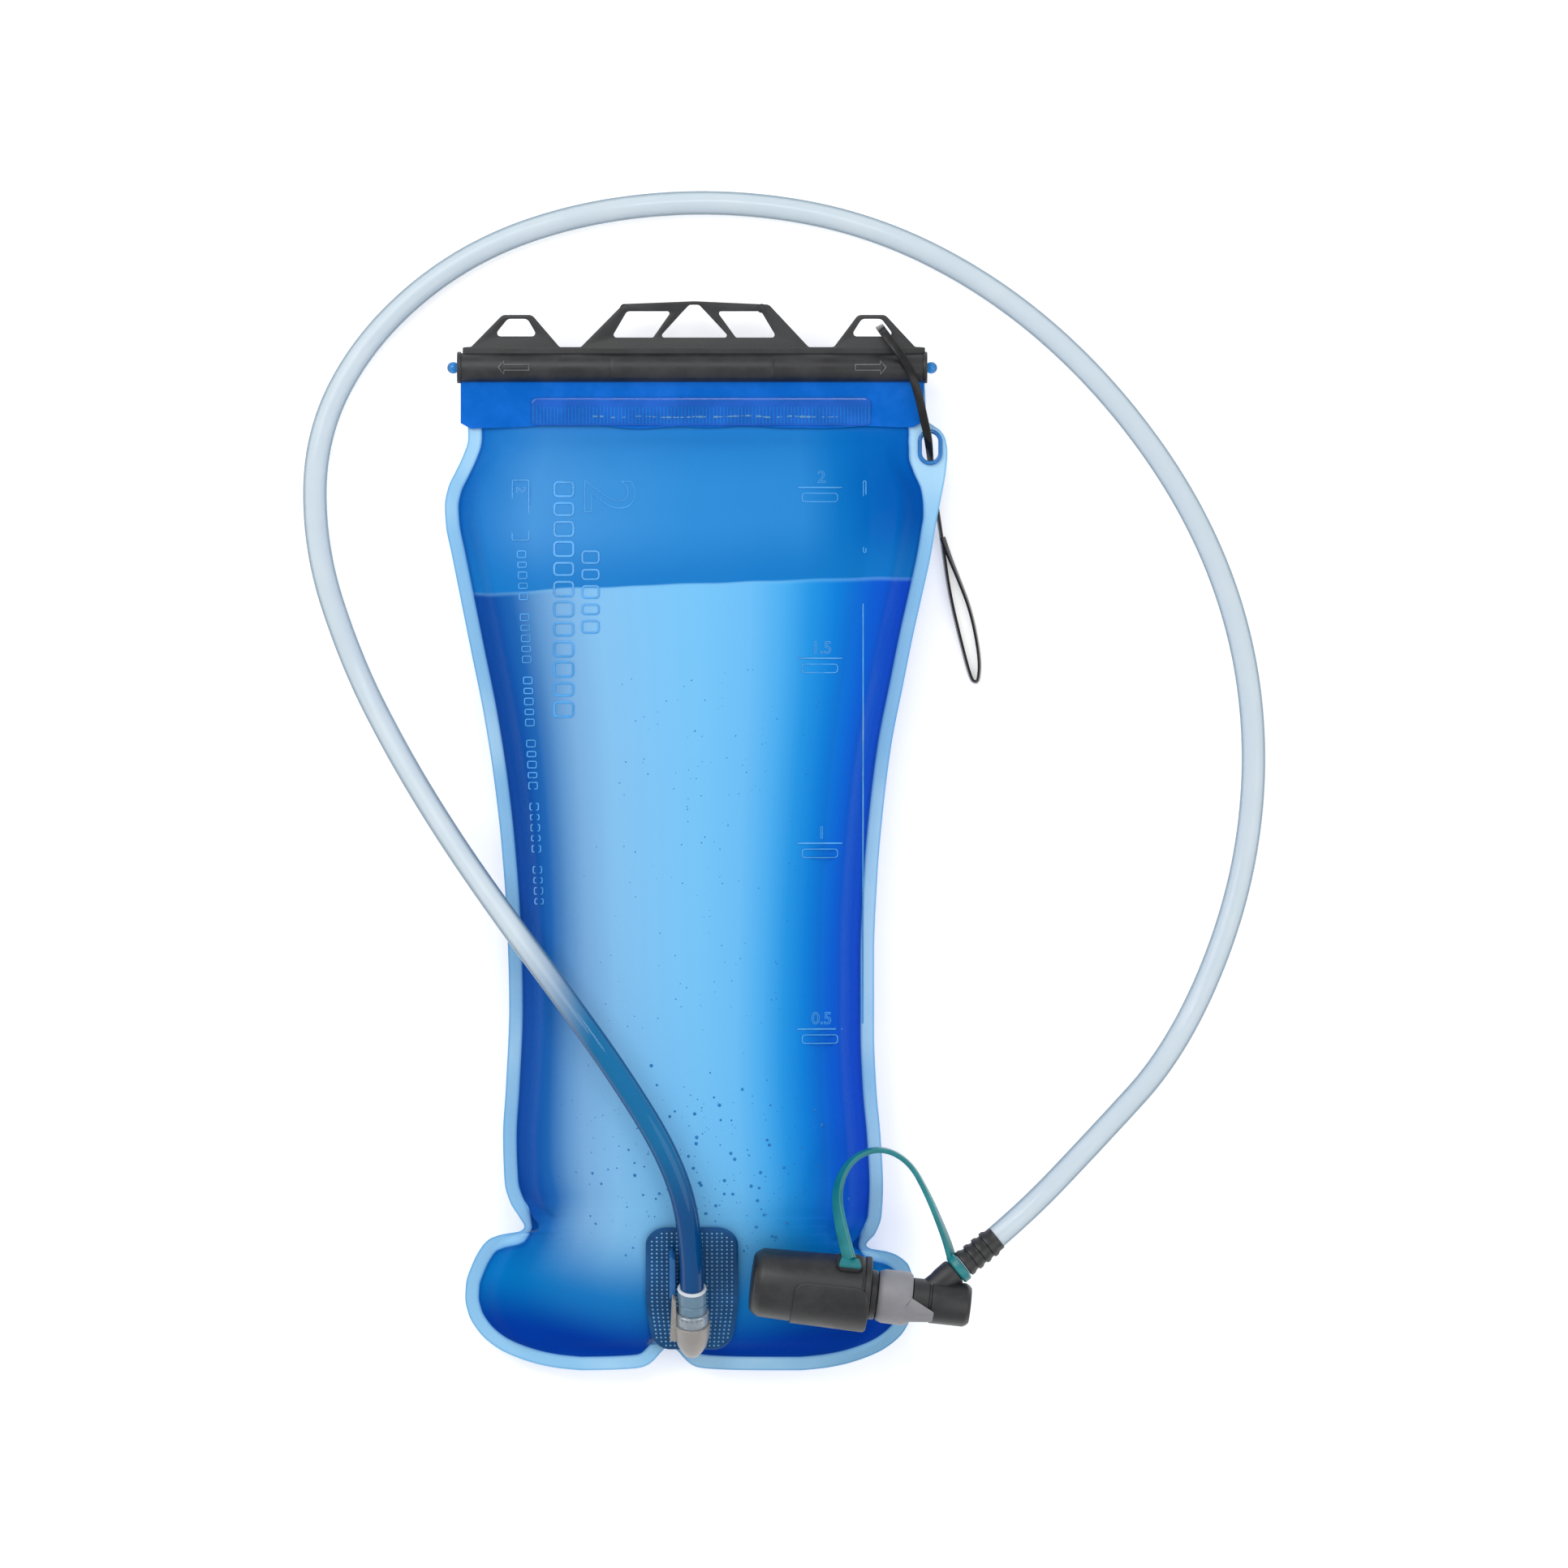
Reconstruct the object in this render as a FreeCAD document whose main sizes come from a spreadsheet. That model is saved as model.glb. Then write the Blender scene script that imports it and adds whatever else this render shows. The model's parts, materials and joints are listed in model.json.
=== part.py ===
import FreeCAD, Part
import math
import os
import re

# A two-litre hydration bladder, full and laid on its back on a floor, with its drink tube connected
# and run round it. Millimetres. +X is to the bag's right, +Y runs from its foot to its slide closure,
# and +Z is up, out of the front film. The origin is the middle of the back film's rest patch.

Vec = FreeCAD.Vector
X_AXIS, Y_AXIS, Z_AXIS = Vec(1, 0, 0), Vec(0, 1, 0), Vec(0, 0, 1)

# ---------------------------------------------------------------------------------- driving sizes
# A value that starts with = follows from the others.
SIZES = {
    # bag
    "film": 0.6,                # thickness of one film
    "weld": 4.6,                # width of the welded border
    "shoulder": 87.5,           # half width of the bag at its shoulders
    "waist": 65.2,              # half width of the bag at its waist
    "foot": 80.5,               # half width of the two foot lobes
    "neckhalf": "=shoulder - 4.6",   # half width of the mouth
    "seamrise": 20.0,           # height of the side welds above the floor
    "neckrise": 20.6,           # height of the weld plane at the mouth
    "fill": 50.6,               # thickness of the full bag
    "waterline": 91.0,          # y of the top of the water
    "restdip": 0.25,            # depth trimmed off the back film to leave its rest patch
    "notchwide": 14.5,          # width of the notch between the foot lobes
    "notchdeep": 7.5,
    "tabright": "=shoulder + 4.0",   # x of the hanging tab's outer edge
    # closure
    "closurey": 167.3,          # y of the rod
    "rodradius": 1.7,
    "ballradius": "=rodradius + 0.45",
    "rodhalf": "=neckhalf + 4.7",
    "wrapwall": 1.6,            # the rolled film round the rod
    "wrapgap": 0.05,
    "flaphalf": "=neckhalf - 0.2",
    "flapend": 146.2,           # y of the folded flap's lower edge
    "flapwall": 0.9,
    "flapcorner": 4.6,
    "stripleft": "=25.3 - flaphalf",
    "stripright": "=flaphalf - 18.9",
    "stripwide": 9.9,
    "stripwall": 0.6,
    "sliderhalf": "=neckhalf + 1.1",
    "sliderouter": "=rodradius + wrapgap + wrapwall + borefit + 1.75",
    "borefit": 0.2,             # clearance between the slider's bore and the wrapped rod
    "slotfit": 0.3,             # clearance between the slot and the films, each side
    "platewall": 2.5,           # thickness of the handle plate
    "plateroot": 7.5,           # height of the handle plate's low rail above the rod
    # hanging tab
    "eyex": "=tabright - 6.5",
    "eyey": 138.9,
    "eyehalf": 2.9,             # half width of the oval hole
    "eyelong": 4.9,             # half length of the oval hole
    "eyerim": 1.6,              # width of the moulded rim round it
    "eyethick": 3.0,
    "strapwide": 3.4,
    "strapthick": 1.2,
    # port
    "portx": 0.0,
    "porty": -161.0,
    "portrise": "=fill - 20.5",      # height of the port plate's middle
    "porttilt": 32.5,           # slope of the front film at the port, degrees
    "portwide": 32.8,
    "portlong": 52.0,
    "portwall": 1.6,
    "portcorner": 7.0,
    "socket": 4.6,              # radius of the socket
    "housing": "=socket + 1.8",      # radius of the housing
    "mouthat": -9.5,            # where the housing ends, along the plug's axis
    "bootat": -17.5,            # where its rounded toe starts
    "socketend": -19.0,
    "axisrise": "=max(housing; collar + 1.3) + portwall",  # height of the plug's axis above the film
    "plugfit": 0.08,            # radial clearance of the plug in its socket
    "noseend": -14.0,
    "collar": "=tubeouter + 0.8",    # radius of the plug's collar
    "collarat": -4.5,
    "hoseat": 5.6,              # where the tube meets the collar
    "barblong": 13.5,
    # drink tube
    "tubeouter": 4.3,
    "tubeinner": "=tubeouter - 1.15",
    "barbfit": 0.05,
    # bite valve
    "valvex": 65.8,             # where the sleeve's end sits on the valve's axis
    "valvey": -163.3,
    "valverise": "=fill - 3.1",
    "sleeveouter": "=spigot + 3.6",
    "sleevelong": 12.2,
    "sleevefit": 0.06,
    "spigot": 6.0,
    "valveouter": "=spigot + 1.8",
    "valvelong": 33.4,
    "flange": "=spigot + 2.85",
    "flangeat": -2.9,
    "branchat": 15.1,           # where the branch leaves the valve's axis
    "neckat": "=ringouter + 1.4 * valveouter + 0.18",  # length of the branch's collar
    "neckouter": "=tubeouter + 0.4",
    "ringwide": 3.5,
    "ringouter": "=tubeouter + 1.1",
    "capouter": "=bitewide + 4.9",
    "captaper": 1.2,
    "capwall": 1.4,
    "caplong": 41.8,
    "bitelong": 30.0,
    "bitewide": "=flange - 0.25",
    "bandwide": 5.0,
    "bandthick": 1.6,
    "flowbore": "=tubeinner - 1.05",
}

doc = FreeCAD.newDocument("hydration_bladder")
sheet = doc.addObject("Spreadsheet::Sheet", "sizes")
for row, alias in enumerate(SIZES, start=1):
    sheet.set(f"A{row}", alias)
    sheet.setAlias(f"B{row}", alias)
for row, value in enumerate(SIZES.values(), start=1):
    sheet.set(f"B{row}", str(value))
doc.recompute()
nodes = {}


def size(alias):
    """A driving size, read from the sheet."""
    return float(getattr(sheet, alias))


def bind(obj, **rules):
    """Binds each named property to an expression on the sheet; x, y and z are the placement's."""
    for prop, rule in rules.items():
        text = re.sub(r"[a-z]+", lambda m: f"sizes.{m[0]}" if m[0] in SIZES else m[0], str(rule))
        path = f"Placement.Base.{prop}" if prop in ("x", "y", "z") else prop
        obj.setExpression(path, text)


def primitive(kind, name, turn=None, **rules):
    obj = doc.addObject(f"Part::{kind}", name)
    if turn is not None:
        obj.Placement = FreeCAD.Placement(Vec(), turn)
    bind(obj, **rules)
    return obj


ALONG_X = FreeCAD.Rotation(Y_AXIS, 90)
ALONG_Y = FreeCAD.Rotation(X_AXIS, -90)


def bar(name, **rules):
    return primitive("Cylinder", name, ALONG_X, **rules)


def pole(name, **rules):
    return primitive("Cylinder", name, ALONG_Y, **rules)


def box(name, **rules):
    return primitive("Box", name, **rules)


def wedge(name, **rules):
    """A prism whose outline tapers along Y, Zmin to Zmax thick."""
    rules.setdefault("Z2min", rules["Zmin"])
    rules.setdefault("Z2max", rules["Zmax"])
    return primitive("Wedge", name, **rules)


def fuse(name, *parts):
    obj = doc.addObject("Part::MultiFuse", name)
    obj.Shapes = list(parts)
    return obj


def cut(name, base, tool):
    obj = doc.addObject("Part::Cut", name)
    obj.Base = base
    obj.Tool = tool
    return obj


def feature(name, shape):
    obj = doc.addObject("Part::Feature", name)
    obj.Shape = shape
    return obj


def fillet(name, base, radius, wanted):
    """Rounds the edges of base that wanted(edge) picks."""
    doc.recompute()
    chosen = [i for i, edge in enumerate(base.Shape.Edges, start=1) if wanted(edge)]
    obj = doc.addObject("Part::Fillet", name)
    obj.Base = base
    obj.Edges = [(i, radius, radius) for i in chosen]
    return obj


def upright(edge):
    """True for a straight edge along Z."""
    start, end = edge.Vertexes[0].Point, edge.Vertexes[-1].Point
    return isinstance(edge.Curve, Part.Line) and abs(end.z - start.z) > 0.99 * edge.Length


def node(label, obj, frame=None):
    """Names a finished sub-part, and puts it where its frame is."""
    obj.Label = label
    if frame is not None:
        obj.Placement = frame
    nodes[label] = obj


# ---------------------------------------------------------------------------------- cord and strap
def rounded_path(points):
    """Straight runs joined by tangent arcs, and the arcs' radii."""
    trims = []
    radii = []
    for before, here, after in zip(points, points[1:], points[2:]):
        turn = (here - before).getAngle(after - here)
        trim = 0.45 * min((here - before).Length, (after - here).Length)
        trims.append(trim)
        radii.append(trim / math.tan(turn / 2))
    edges = []
    start = points[0]
    for (before, here, after), trim, radius in zip(zip(points, points[1:], points[2:]), trims, radii):
        back = (before - here).normalize()
        ahead = (after - here).normalize()
        first, last = here + back * trim, here + ahead * trim
        bisector = (back + ahead).normalize()
        depth = math.hypot(radius, trim) - radius
        edges.append(Part.LineSegment(start, first).toShape())
        edges.append(Part.Arc(first, here + bisector * depth, last).toShape())
        start = last
    edges.append(Part.LineSegment(start, points[-1]).toShape())
    return Part.Wire(edges), radii


def ring_face(centre, normal, outer, inner):
    disc = Part.Face(Part.Wire(Part.makeCircle(outer, centre, normal)))
    hole = Part.Face(Part.Wire(Part.makeCircle(inner, centre, normal)))
    return disc.cut(hole).Faces[0]


def band(points, along_axis, across_axis, axis):
    """A flat strap along points: its sizes along a fixed axis and across both it and the path."""
    path, radii = rounded_path(points)
    ahead = (points[1] - points[0]).normalize()
    up = (axis - ahead * axis.dot(ahead)).normalize()
    side = ahead.cross(up)
    corners = []
    for i, j in ((-1, -1), (1, -1), (1, 1), (-1, 1)):
        corners.append(points[0] + up * (i * along_axis / 2) + side * (j * across_axis / 2))
    profile = Part.makePolygon(corners + corners[:1])
    shell = Part.BRepOffsetAPI.MakePipeShell(path)
    shell.setBiNormalMode(axis)
    shell.add(profile)
    shell.build()
    shell.makeSolid()
    return shell.shape(), path, radii


# ---------------------------------------------------------------------------------- bag
# Stations from the mouth to the foot: y, left half width, right half width, height of the weld
# plane, height of the front film's crown above it, and depth of the back film below it.
def bag_stations():
    crown = size("fill") - size("seamrise") - size("film")
    neck, seam = size("neckrise"), size("seamrise")
    roll = size("rodradius") + size("wrapgap") + size("wrapwall")
    shoulder, waist, foot = size("shoulder"), size("waist"), size("foot")
    mouth, tab = size("neckhalf"), size("tabright")
    taper = shoulder - waist
    lobe = foot - waist
    slope = math.tan(math.radians(size("porttilt")))

    def port_line(y, weld):
        """Rise that keeps the crown straight under the port plate."""
        return size("portrise") - 0.1 + (y - size("porty")) * slope - weld - size("film")

    def belly(weld):
        """Depth that brings the back film down to the floor."""
        return weld - size("film") + size("restdip")

    def upper(y, left, right, fall, bulge, drop=1.0):
        """A station above the waist: fall is how far the weld has come from neck to seam height."""
        weld = neck + (seam - neck) * fall
        return y, left, right, weld, bulge * crown, drop * belly(weld)

    def middle(y, half, bulge):
        return y, half, half, seam, bulge * crown, belly(seam)

    def lower(y, half, sink, drop=1.0, ease=0.0):
        """A station under the port: sink is how far the weld is below seam height."""
        return y, half, half, seam - sink, port_line(y, seam - sink) - ease, drop * belly(seam - sink)

    return [
        upper(size("closurey") - roll - 0.1, mouth, mouth, 0, 0, 0),
        upper(147.0, mouth - 2.6, mouth - 2.6, 0, 0, 0),
        upper(146.0, mouth - 2.6, tab, 0, 0, 0),
        upper(145.5, mouth - 2.6, tab, 0, 0, 0),
        upper(138.0, mouth - 2.2, tab, 0, 0.20, 0.30),
        upper(130.0, shoulder - 3.8, tab, 0, 0.34, 0.55),
        upper(122.0, shoulder - 0.4, tab, 0.2, 0.46, 0.76),
        upper(118.0, shoulder, tab, 0.3, 0.52, 0.85),
        upper(113.0, shoulder, shoulder, 0.4, 0.60),
        upper(101.0, shoulder - 1.4, shoulder - 1.4, 0.6, 0.73),
        upper(84.0, waist + 0.76 * taper, waist + 0.76 * taper, 0.8, 0.85),
        upper(55.0, waist + 0.49 * taper, waist + 0.49 * taper, 1, 0.95),
        middle(20.0, waist + 0.22 * taper, 1),
        middle(-15.0, waist + 0.07 * taper, 1),
        middle(-64.0, waist, 1),
        middle(-107.0, waist + 0.14 * lobe, 0.99),
        middle(-125.0, waist + 0.16 * lobe, 0.92),
        lower(-133.0, waist - 0.12 * lobe, 0, ease=0.6),
        lower(-140.0, waist - 0.28 * lobe, 0),
        lower(-145.0, waist - 0.08 * lobe, 0.5),
        lower(-150.0, foot - 8.0, 1.5),
        lower(-156.0, foot - 1.6, 3.0),
        lower(-165.0, foot, 5.5),
        lower(-173.0, foot - 1.4, 7.5, 0.80),
        lower(-180.0, foot - 6.4, 8.5, 0.42),
        (-185.0, foot - 14.5, foot - 14.5, seam - 8.9, 0.6, 0.6),
        (-188.5, foot - 22.5, foot - 22.5, seam - 9.0, 0, 0),
        (-191.2, foot - 31.5, foot - 31.5, seam - 9.0, 0, 0),
    ]


def front_profile(share):
    return max(0.0, 1 - abs(share) ** 2.2) ** 0.72


def back_profile(share):
    return max(0.0, 1 - abs(share) ** 5) ** 0.8


def dome(y, half, base, rise, profile):
    """The film's line across the bag between its side welds, left to right."""
    steps = 8
    points = []
    for i in range(-steps, steps + 1):
        share = math.sin(math.pi / 2 * i / steps)
        points.append(Vec(half * share, y, base + rise * profile(share)))
    curve = Part.BSplineCurve()
    curve.interpolate(points)
    return curve.toShape(), points[0], points[-1]


def film_section(station, side):
    """A closed section of one film: side is 1 for the front film, -1 for the back one."""
    y, left, right, weld, rise, drop = station
    film, inset = size("film"), size("weld")
    half = left - inset
    profile, bulge = (front_profile, rise) if side > 0 else (back_profile, -drop)
    inner, inner_left, inner_right = dome(y, half, weld, bulge, profile)
    outer, outer_left, outer_right = dome(y, half, weld + side * film, bulge, profile)
    corner_in_left, corner_in_right = Vec(-left, y, weld), Vec(right, y, weld)
    corner_out_left = Vec(-left, y, weld + side * film)
    corner_out_right = Vec(right, y, weld + side * film)
    return Part.Wire([
        Part.makeLine(corner_in_left, inner_left),
        inner,
        Part.makeLine(inner_right, corner_in_right),
        Part.makeLine(corner_in_right, corner_out_right),
        Part.makeLine(corner_out_right, outer_right),
        outer,
        Part.makeLine(outer_left, corner_out_left),
        Part.makeLine(corner_out_left, corner_in_left),
    ])


def water_section(station):
    y, left, _, weld, rise, drop = station
    half = left - size("weld") - 0.3
    gap = 0.1
    top, top_left, top_right = dome(y, half, weld + 0.02, rise - gap, front_profile)
    low, low_left, low_right = dome(y, half, weld - 0.02, gap - drop, back_profile)
    return Part.Wire([
        top,
        Part.makeLine(top_right, low_right),
        low,
        Part.makeLine(low_left, top_left),
    ])


def between(upper, lower, y):
    """A station at y, in line between its two neighbours."""
    share = (upper[0] - y) / (upper[0] - lower[0])
    return tuple(a + (b - a) * share for a, b in zip(upper, lower))


def foot_notch():
    """The rounded notch between the two foot lobes, cut through both films."""
    wide, deep = size("notchwide"), size("notchdeep")
    end = bag_stations()[-1][0]
    corners = [
        Vec(-wide / 2, end - 1, -1), Vec(wide / 2, end - 1, -1),
        Vec(wide / 8, end + deep, -1), Vec(-wide / 8, end + deep, -1),
    ]
    face = Part.Face(Part.makePolygon(corners + corners[:1]))
    return face.extrude(Vec(0, 0, size("fill")))


def oval(half_wide, half_long, low, high):
    """An upright oval prism at the hanging hole."""
    straight = half_long - half_wide
    body = Part.makeBox(2 * half_wide, 2 * straight, high - low, Vec(-half_wide, -straight, low))
    for end in (-straight, straight):
        body = body.fuse(Part.makeCylinder(half_wide, high - low, Vec(0, end, low)))
    body = body.removeSplitter()
    body.translate(Vec(size("eyex"), size("eyey"), 0))
    return body


def port_frame():
    """X across the bag, Y up the slope along the plug's axis, Z out of the front film."""
    middle = Vec(size("portx"), size("porty"), size("portrise"))
    return FreeCAD.Placement(middle, FreeCAD.Rotation(X_AXIS, size("porttilt")))


def make_films():
    stations = bag_stations()
    rim_hole = oval(size("eyehalf") + size("eyerim"), size("eyelong") + size("eyerim"), 0, size("fill"))
    floor = Part.makeBox(400, 600, 20, Vec(-200, -300, -20))
    for label, side in (("front_film", 1), ("back_film", -1)):
        shape = Part.makeLoft([film_section(s, side) for s in stations], True, True)
        shape = shape.cut(foot_notch()).cut(rim_hole)
        if side < 0:
            shape = shape.cut(floor)
        else:
            drain = Part.makeCylinder(size("flowbore"), 12, Vec(0, size("noseend") - 3.5, -6))
            drain.Placement = port_frame()
            shape = shape.cut(drain)
        node(label, feature(label, shape))
    wet = [s for s in stations if size("waterline") > s[0] > -183]
    above = [s for s in stations if s[0] >= size("waterline")][-1]
    wet.insert(0, between(above, wet[0], size("waterline")))
    water = Part.makeLoft([water_section(s) for s in wet], True, True)
    node("water_fill", feature("water_fill", water))


def make_closure():
    wrap = "(rodradius + wrapgap + wrapwall)"
    middle = "(neckrise + film / 2)"
    flap_low = "(neckrise + film + 0.05)"
    rod = bar("rod_shaft", Radius="rodradius", Height="2 * (rodhalf - ballradius)",
              x="ballradius - rodhalf", y="closurey", z=middle)
    balls = []
    for name, side in (("rod_ball_left", -1), ("rod_ball_right", 1)):
        balls.append(primitive("Sphere", name, Radius="ballradius", x=f"{side} * (rodhalf - ballradius)",
                               y="closurey", z=middle))
    node("closure_rod", fuse("closure_rod", rod, *balls))

    roll = bar("roll_outer", Radius=wrap, Height="2 * flaphalf", x="-flaphalf", y="closurey", z=middle)
    flap = box("flap_sheet", Length="2 * flaphalf", Width="closurey - flapend - rodradius - wrapgap",
               Height="flapwall", x="-flaphalf", y="flapend", z=flap_low)
    end_y = size("flapend")
    rounded = fillet("flap_rounded", flap, size("flapcorner"),
                     lambda e: upright(e) and e.CenterOfMass.y < end_y + 0.01)
    rolled = fuse("flap_rolled", roll, rounded)
    tunnel = bar("roll_tunnel", Radius="rodradius + wrapgap", Height="2 * flaphalf + 2",
                 x="-flaphalf - 1", y="closurey", z=middle)
    node("mouth_flap", cut("mouth_flap", rolled, tunnel))

    strip = box("grip_strip", Length="stripright - stripleft", Width="stripwide", Height="stripwall",
                x="stripleft", y="flapend + 0.4", z=f"{flap_low} + flapwall")
    node("grip_strip", strip)


def handle_outlines():
    """Handles and windows: name, lower y, upper y, then left and right x at each, y from the rod."""
    end = size("sliderhalf")
    return [
        ("rail", 4.0, 7.4, 2.0 - end, end - 0.8, 2.0 - end, end - 0.8),
        ("handle_left", 4.6, 18.9, 5.7 - end, 35.9 - end, 16.2 - end, 26.8 - end),
        ("handle_middle", 4.6, 23.8, -39.2, 40.9, -25.4, 27.2),
        ("handle_right", 4.6, 18.9, end - 32.7, end - 5.7, end - 24.8, end - 15.0),
    ], [
        ("window_left", 11.2, 17.6, 13.2 - end, 28.6 - end, 17.9 - end, 25.4 - end),
        ("window_a", 10.8, 20.4, -28.6, -14.0, -23.3, -7.4),
        ("window_b", 10.8, 20.4, -11.6, 13.1, -2.6, 3.8),
        ("window_c", 10.8, 20.4, 15.6, 30.1, 8.8, 24.6),
        ("window_right", 11.2, 17.6, end - 27.6, end - 11.8, end - 23.6, end - 16.1),
    ]


def make_slider():
    wrap = "(rodradius + wrapgap + wrapwall)"
    middle = "(neckrise + film / 2)"
    slot_low = "(neckrise - film - slotfit)"
    slot_high = "(neckrise + film + 0.05 + flapwall + slotfit)"
    tube = bar("slider_tube", Radius="sliderouter", Height="2 * sliderhalf", x="-sliderhalf",
               y="closurey", z=middle)
    outlines, windows = handle_outlines()
    plates = []
    for name, low, high, left, right, top_left, top_right in outlines:
        plates.append(wedge(name, Xmin=left, Xmax=right, X2min=top_left, X2max=top_right,
                            Ymin=low, Ymax=high, Zmin="-platewall / 2", Zmax="platewall / 2",
                            y="closurey", z=middle))
    solid = fuse("slider_solid", tube, *plates)
    bore = bar("slider_bore", Radius=f"{wrap} + borefit", Height="2 * sliderhalf + 2",
               x="-sliderhalf - 1", y="closurey", z=middle)
    slot = box("slider_slot", Length="2 * sliderhalf + 2", Width="sliderouter + 1",
               Height=f"{slot_high} - {slot_low}", x="-sliderhalf - 1",
               y="closurey - sliderouter - 1", z=slot_low)
    cutters = [bore, slot]
    for name, low, high, left, right, top_left, top_right in windows:
        cutters.append(wedge(name, Xmin=left, Xmax=right, X2min=top_left, X2max=top_right,
                             Ymin=low, Ymax=high, Zmin=-5, Zmax=5, y="closurey", z=middle))
    node("closure_slider", cut("closure_slider", solid, fuse("slider_cutters", *cutters)))


def make_hanging_tab():
    rim = size("eyerim")
    low = size("neckrise") + 0.3 - size("eyethick") / 2
    high = low + size("eyethick")
    ring = oval(size("eyehalf") + rim, size("eyelong") + rim, low, high)
    ring = ring.cut(oval(size("eyehalf"), size("eyelong"), low - 1, high + 1))
    node("eyelet_ring", feature("eyelet_ring", ring))

    wide, thick = size("strapwide"), size("strapthick")
    middle = size("neckrise") + size("film") / 2
    over = middle + size("sliderouter") + 1.4
    rest = thick / 2 + 0.05
    handle, eye = size("sliderhalf") - 16.7, size("eyex")
    join = Vec(eye + 3.9, 100.0, rest)
    strand = [
        Vec(handle - 0.4, 182.2, middle - 3.6),
        Vec(handle, 181.6, middle + 3.2),
        Vec(handle + 3.5, 176.4, over),
        Vec(eye - 7.6, 167.0, over + 0.6),
        Vec(eye - 4.2, 156.0, over - 1.0),
        Vec(eye - 1.6, 146.0, over - 1.6),
        Vec(eye - 0.1, 139.4, middle + 1.0),
        Vec(eye + 0.4, 133.6, middle - 6.0),
        Vec(eye + 3.0, 117.0, rest),
        join,
    ]
    loop = [
        join,
        Vec(eye + 6.4, 77.0, rest),
        Vec(eye + 11.0, 61.5, rest),
        Vec(eye + 13.4, 55.4, rest),
        Vec(eye + 18.2, 57.4, rest),
        Vec(eye + 18.2, 66.0, rest),
        Vec(eye + 16.0, 80.0, rest),
        Vec(eye + 9.8, 96.0, rest),
    ]
    upper, upper_path, upper_radii = band(strand, wide, thick, X_AXIS)
    lower, lower_path, lower_radii = band(loop, thick, wide, Z_AXIS)
    shape = upper.fuse(lower)
    node("leash", feature("leash", shape))
    long = upper_path.Length + lower_path.Length
    print("leash: length", round(long, 1), "volume", round(shape.Volume, 1), "section x length",
          round(wide * thick * long, 1), "radii", [round(r, 1) for r in upper_radii + lower_radii])


# ---------------------------------------------------------------------------------- port and plug
def make_port():
    frame = port_frame()
    plate = box("port_blank", Length="portwide", Width="portlong", Height="portwall",
                x="-portwide / 2", y="-portlong / 2")
    rounded = fillet("port_rounded", plate, size("portcorner"), upright)
    drain = primitive("Cylinder", "port_drain", Radius="flowbore", Height="portwall + 2",
                      y="noseend - 3.5", z=-1)
    node("port_plate", cut("port_plate", rounded, drain), frame)

    barrel = pole("housing_barrel", Radius="housing", Height="mouthat - bootat", y="bootat",
                  z="axisrise")
    toe = primitive("Sphere", "housing_toe", Radius="housing", y="bootat", z="axisrise")
    base = box("housing_base", Length="2 * housing", Width="mouthat - bootat",
               Height="axisrise - portwall", x="-housing", y="bootat", z="portwall")
    tongue = box("housing_tongue", Length="1.6 * housing", Width="4 - mouthat", Height=0.5,
                 x="-0.8 * housing", y="mouthat", z="portwall")
    solid = fuse("housing_solid", barrel, toe, base, tongue)
    socket = pole("housing_socket", Radius="socket", Height="mouthat - socketend + 1", y="socketend",
                  z="axisrise")
    well = primitive("Cylinder", "housing_drain", Radius="flowbore", Height="axisrise", y="noseend - 3.5")
    node("port_housing", cut("port_housing", solid, fuse("housing_cutters", socket, well)), frame)

    ring = pole("lock_ring_blank", Radius="housing - 0.6", Height="collarat - mouthat - 0.2",
                y="mouthat + 0.05", z="axisrise")
    hole = pole("lock_ring_hole", Radius="socket", Height="collarat - mouthat + 2", y="mouthat - 1",
                z="axisrise")
    node("lock_ring", cut("lock_ring", ring, hole), frame)

    seat = pole("port_seal_blank", Radius="socket - 0.01", Height=1.2, y="noseend - 1.3", z="axisrise")
    seat_hole = pole("port_seal_hole", Radius=2.6, Height=4, y="noseend - 2.3", z="axisrise")
    node("port_seal", cut("port_seal", seat, seat_hole), frame)

    disc = pole("poppet_disc", Radius="socket - 0.4", Height=0.8, y="noseend - 2.2", z="axisrise")
    stem = pole("poppet_stem", Radius=1.2, Height=1.7, y="noseend - 3.8", z="axisrise")
    node("shutoff_poppet", fuse("shutoff_poppet", disc, stem), frame)

    room = size("noseend") - 2.2 - size("socketend") - 0.1
    helix = Part.makeHelix(room / 3, room - 0.6, 2.6)
    helix.Placement = FreeCAD.Placement(Vec(0, size("socketend") + 0.35, size("axisrise")), ALONG_Y)
    start = helix.Edges[0].valueAt(helix.Edges[0].FirstParameter)
    wire = Part.Wire(Part.makeCircle(0.25, start, helix.Edges[0].tangentAt(helix.Edges[0].FirstParameter)))
    coil = Part.Wire(helix.Edges).makePipeShell([wire], True, True)
    node("poppet_spring", feature("poppet_spring", coil), frame)


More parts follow.
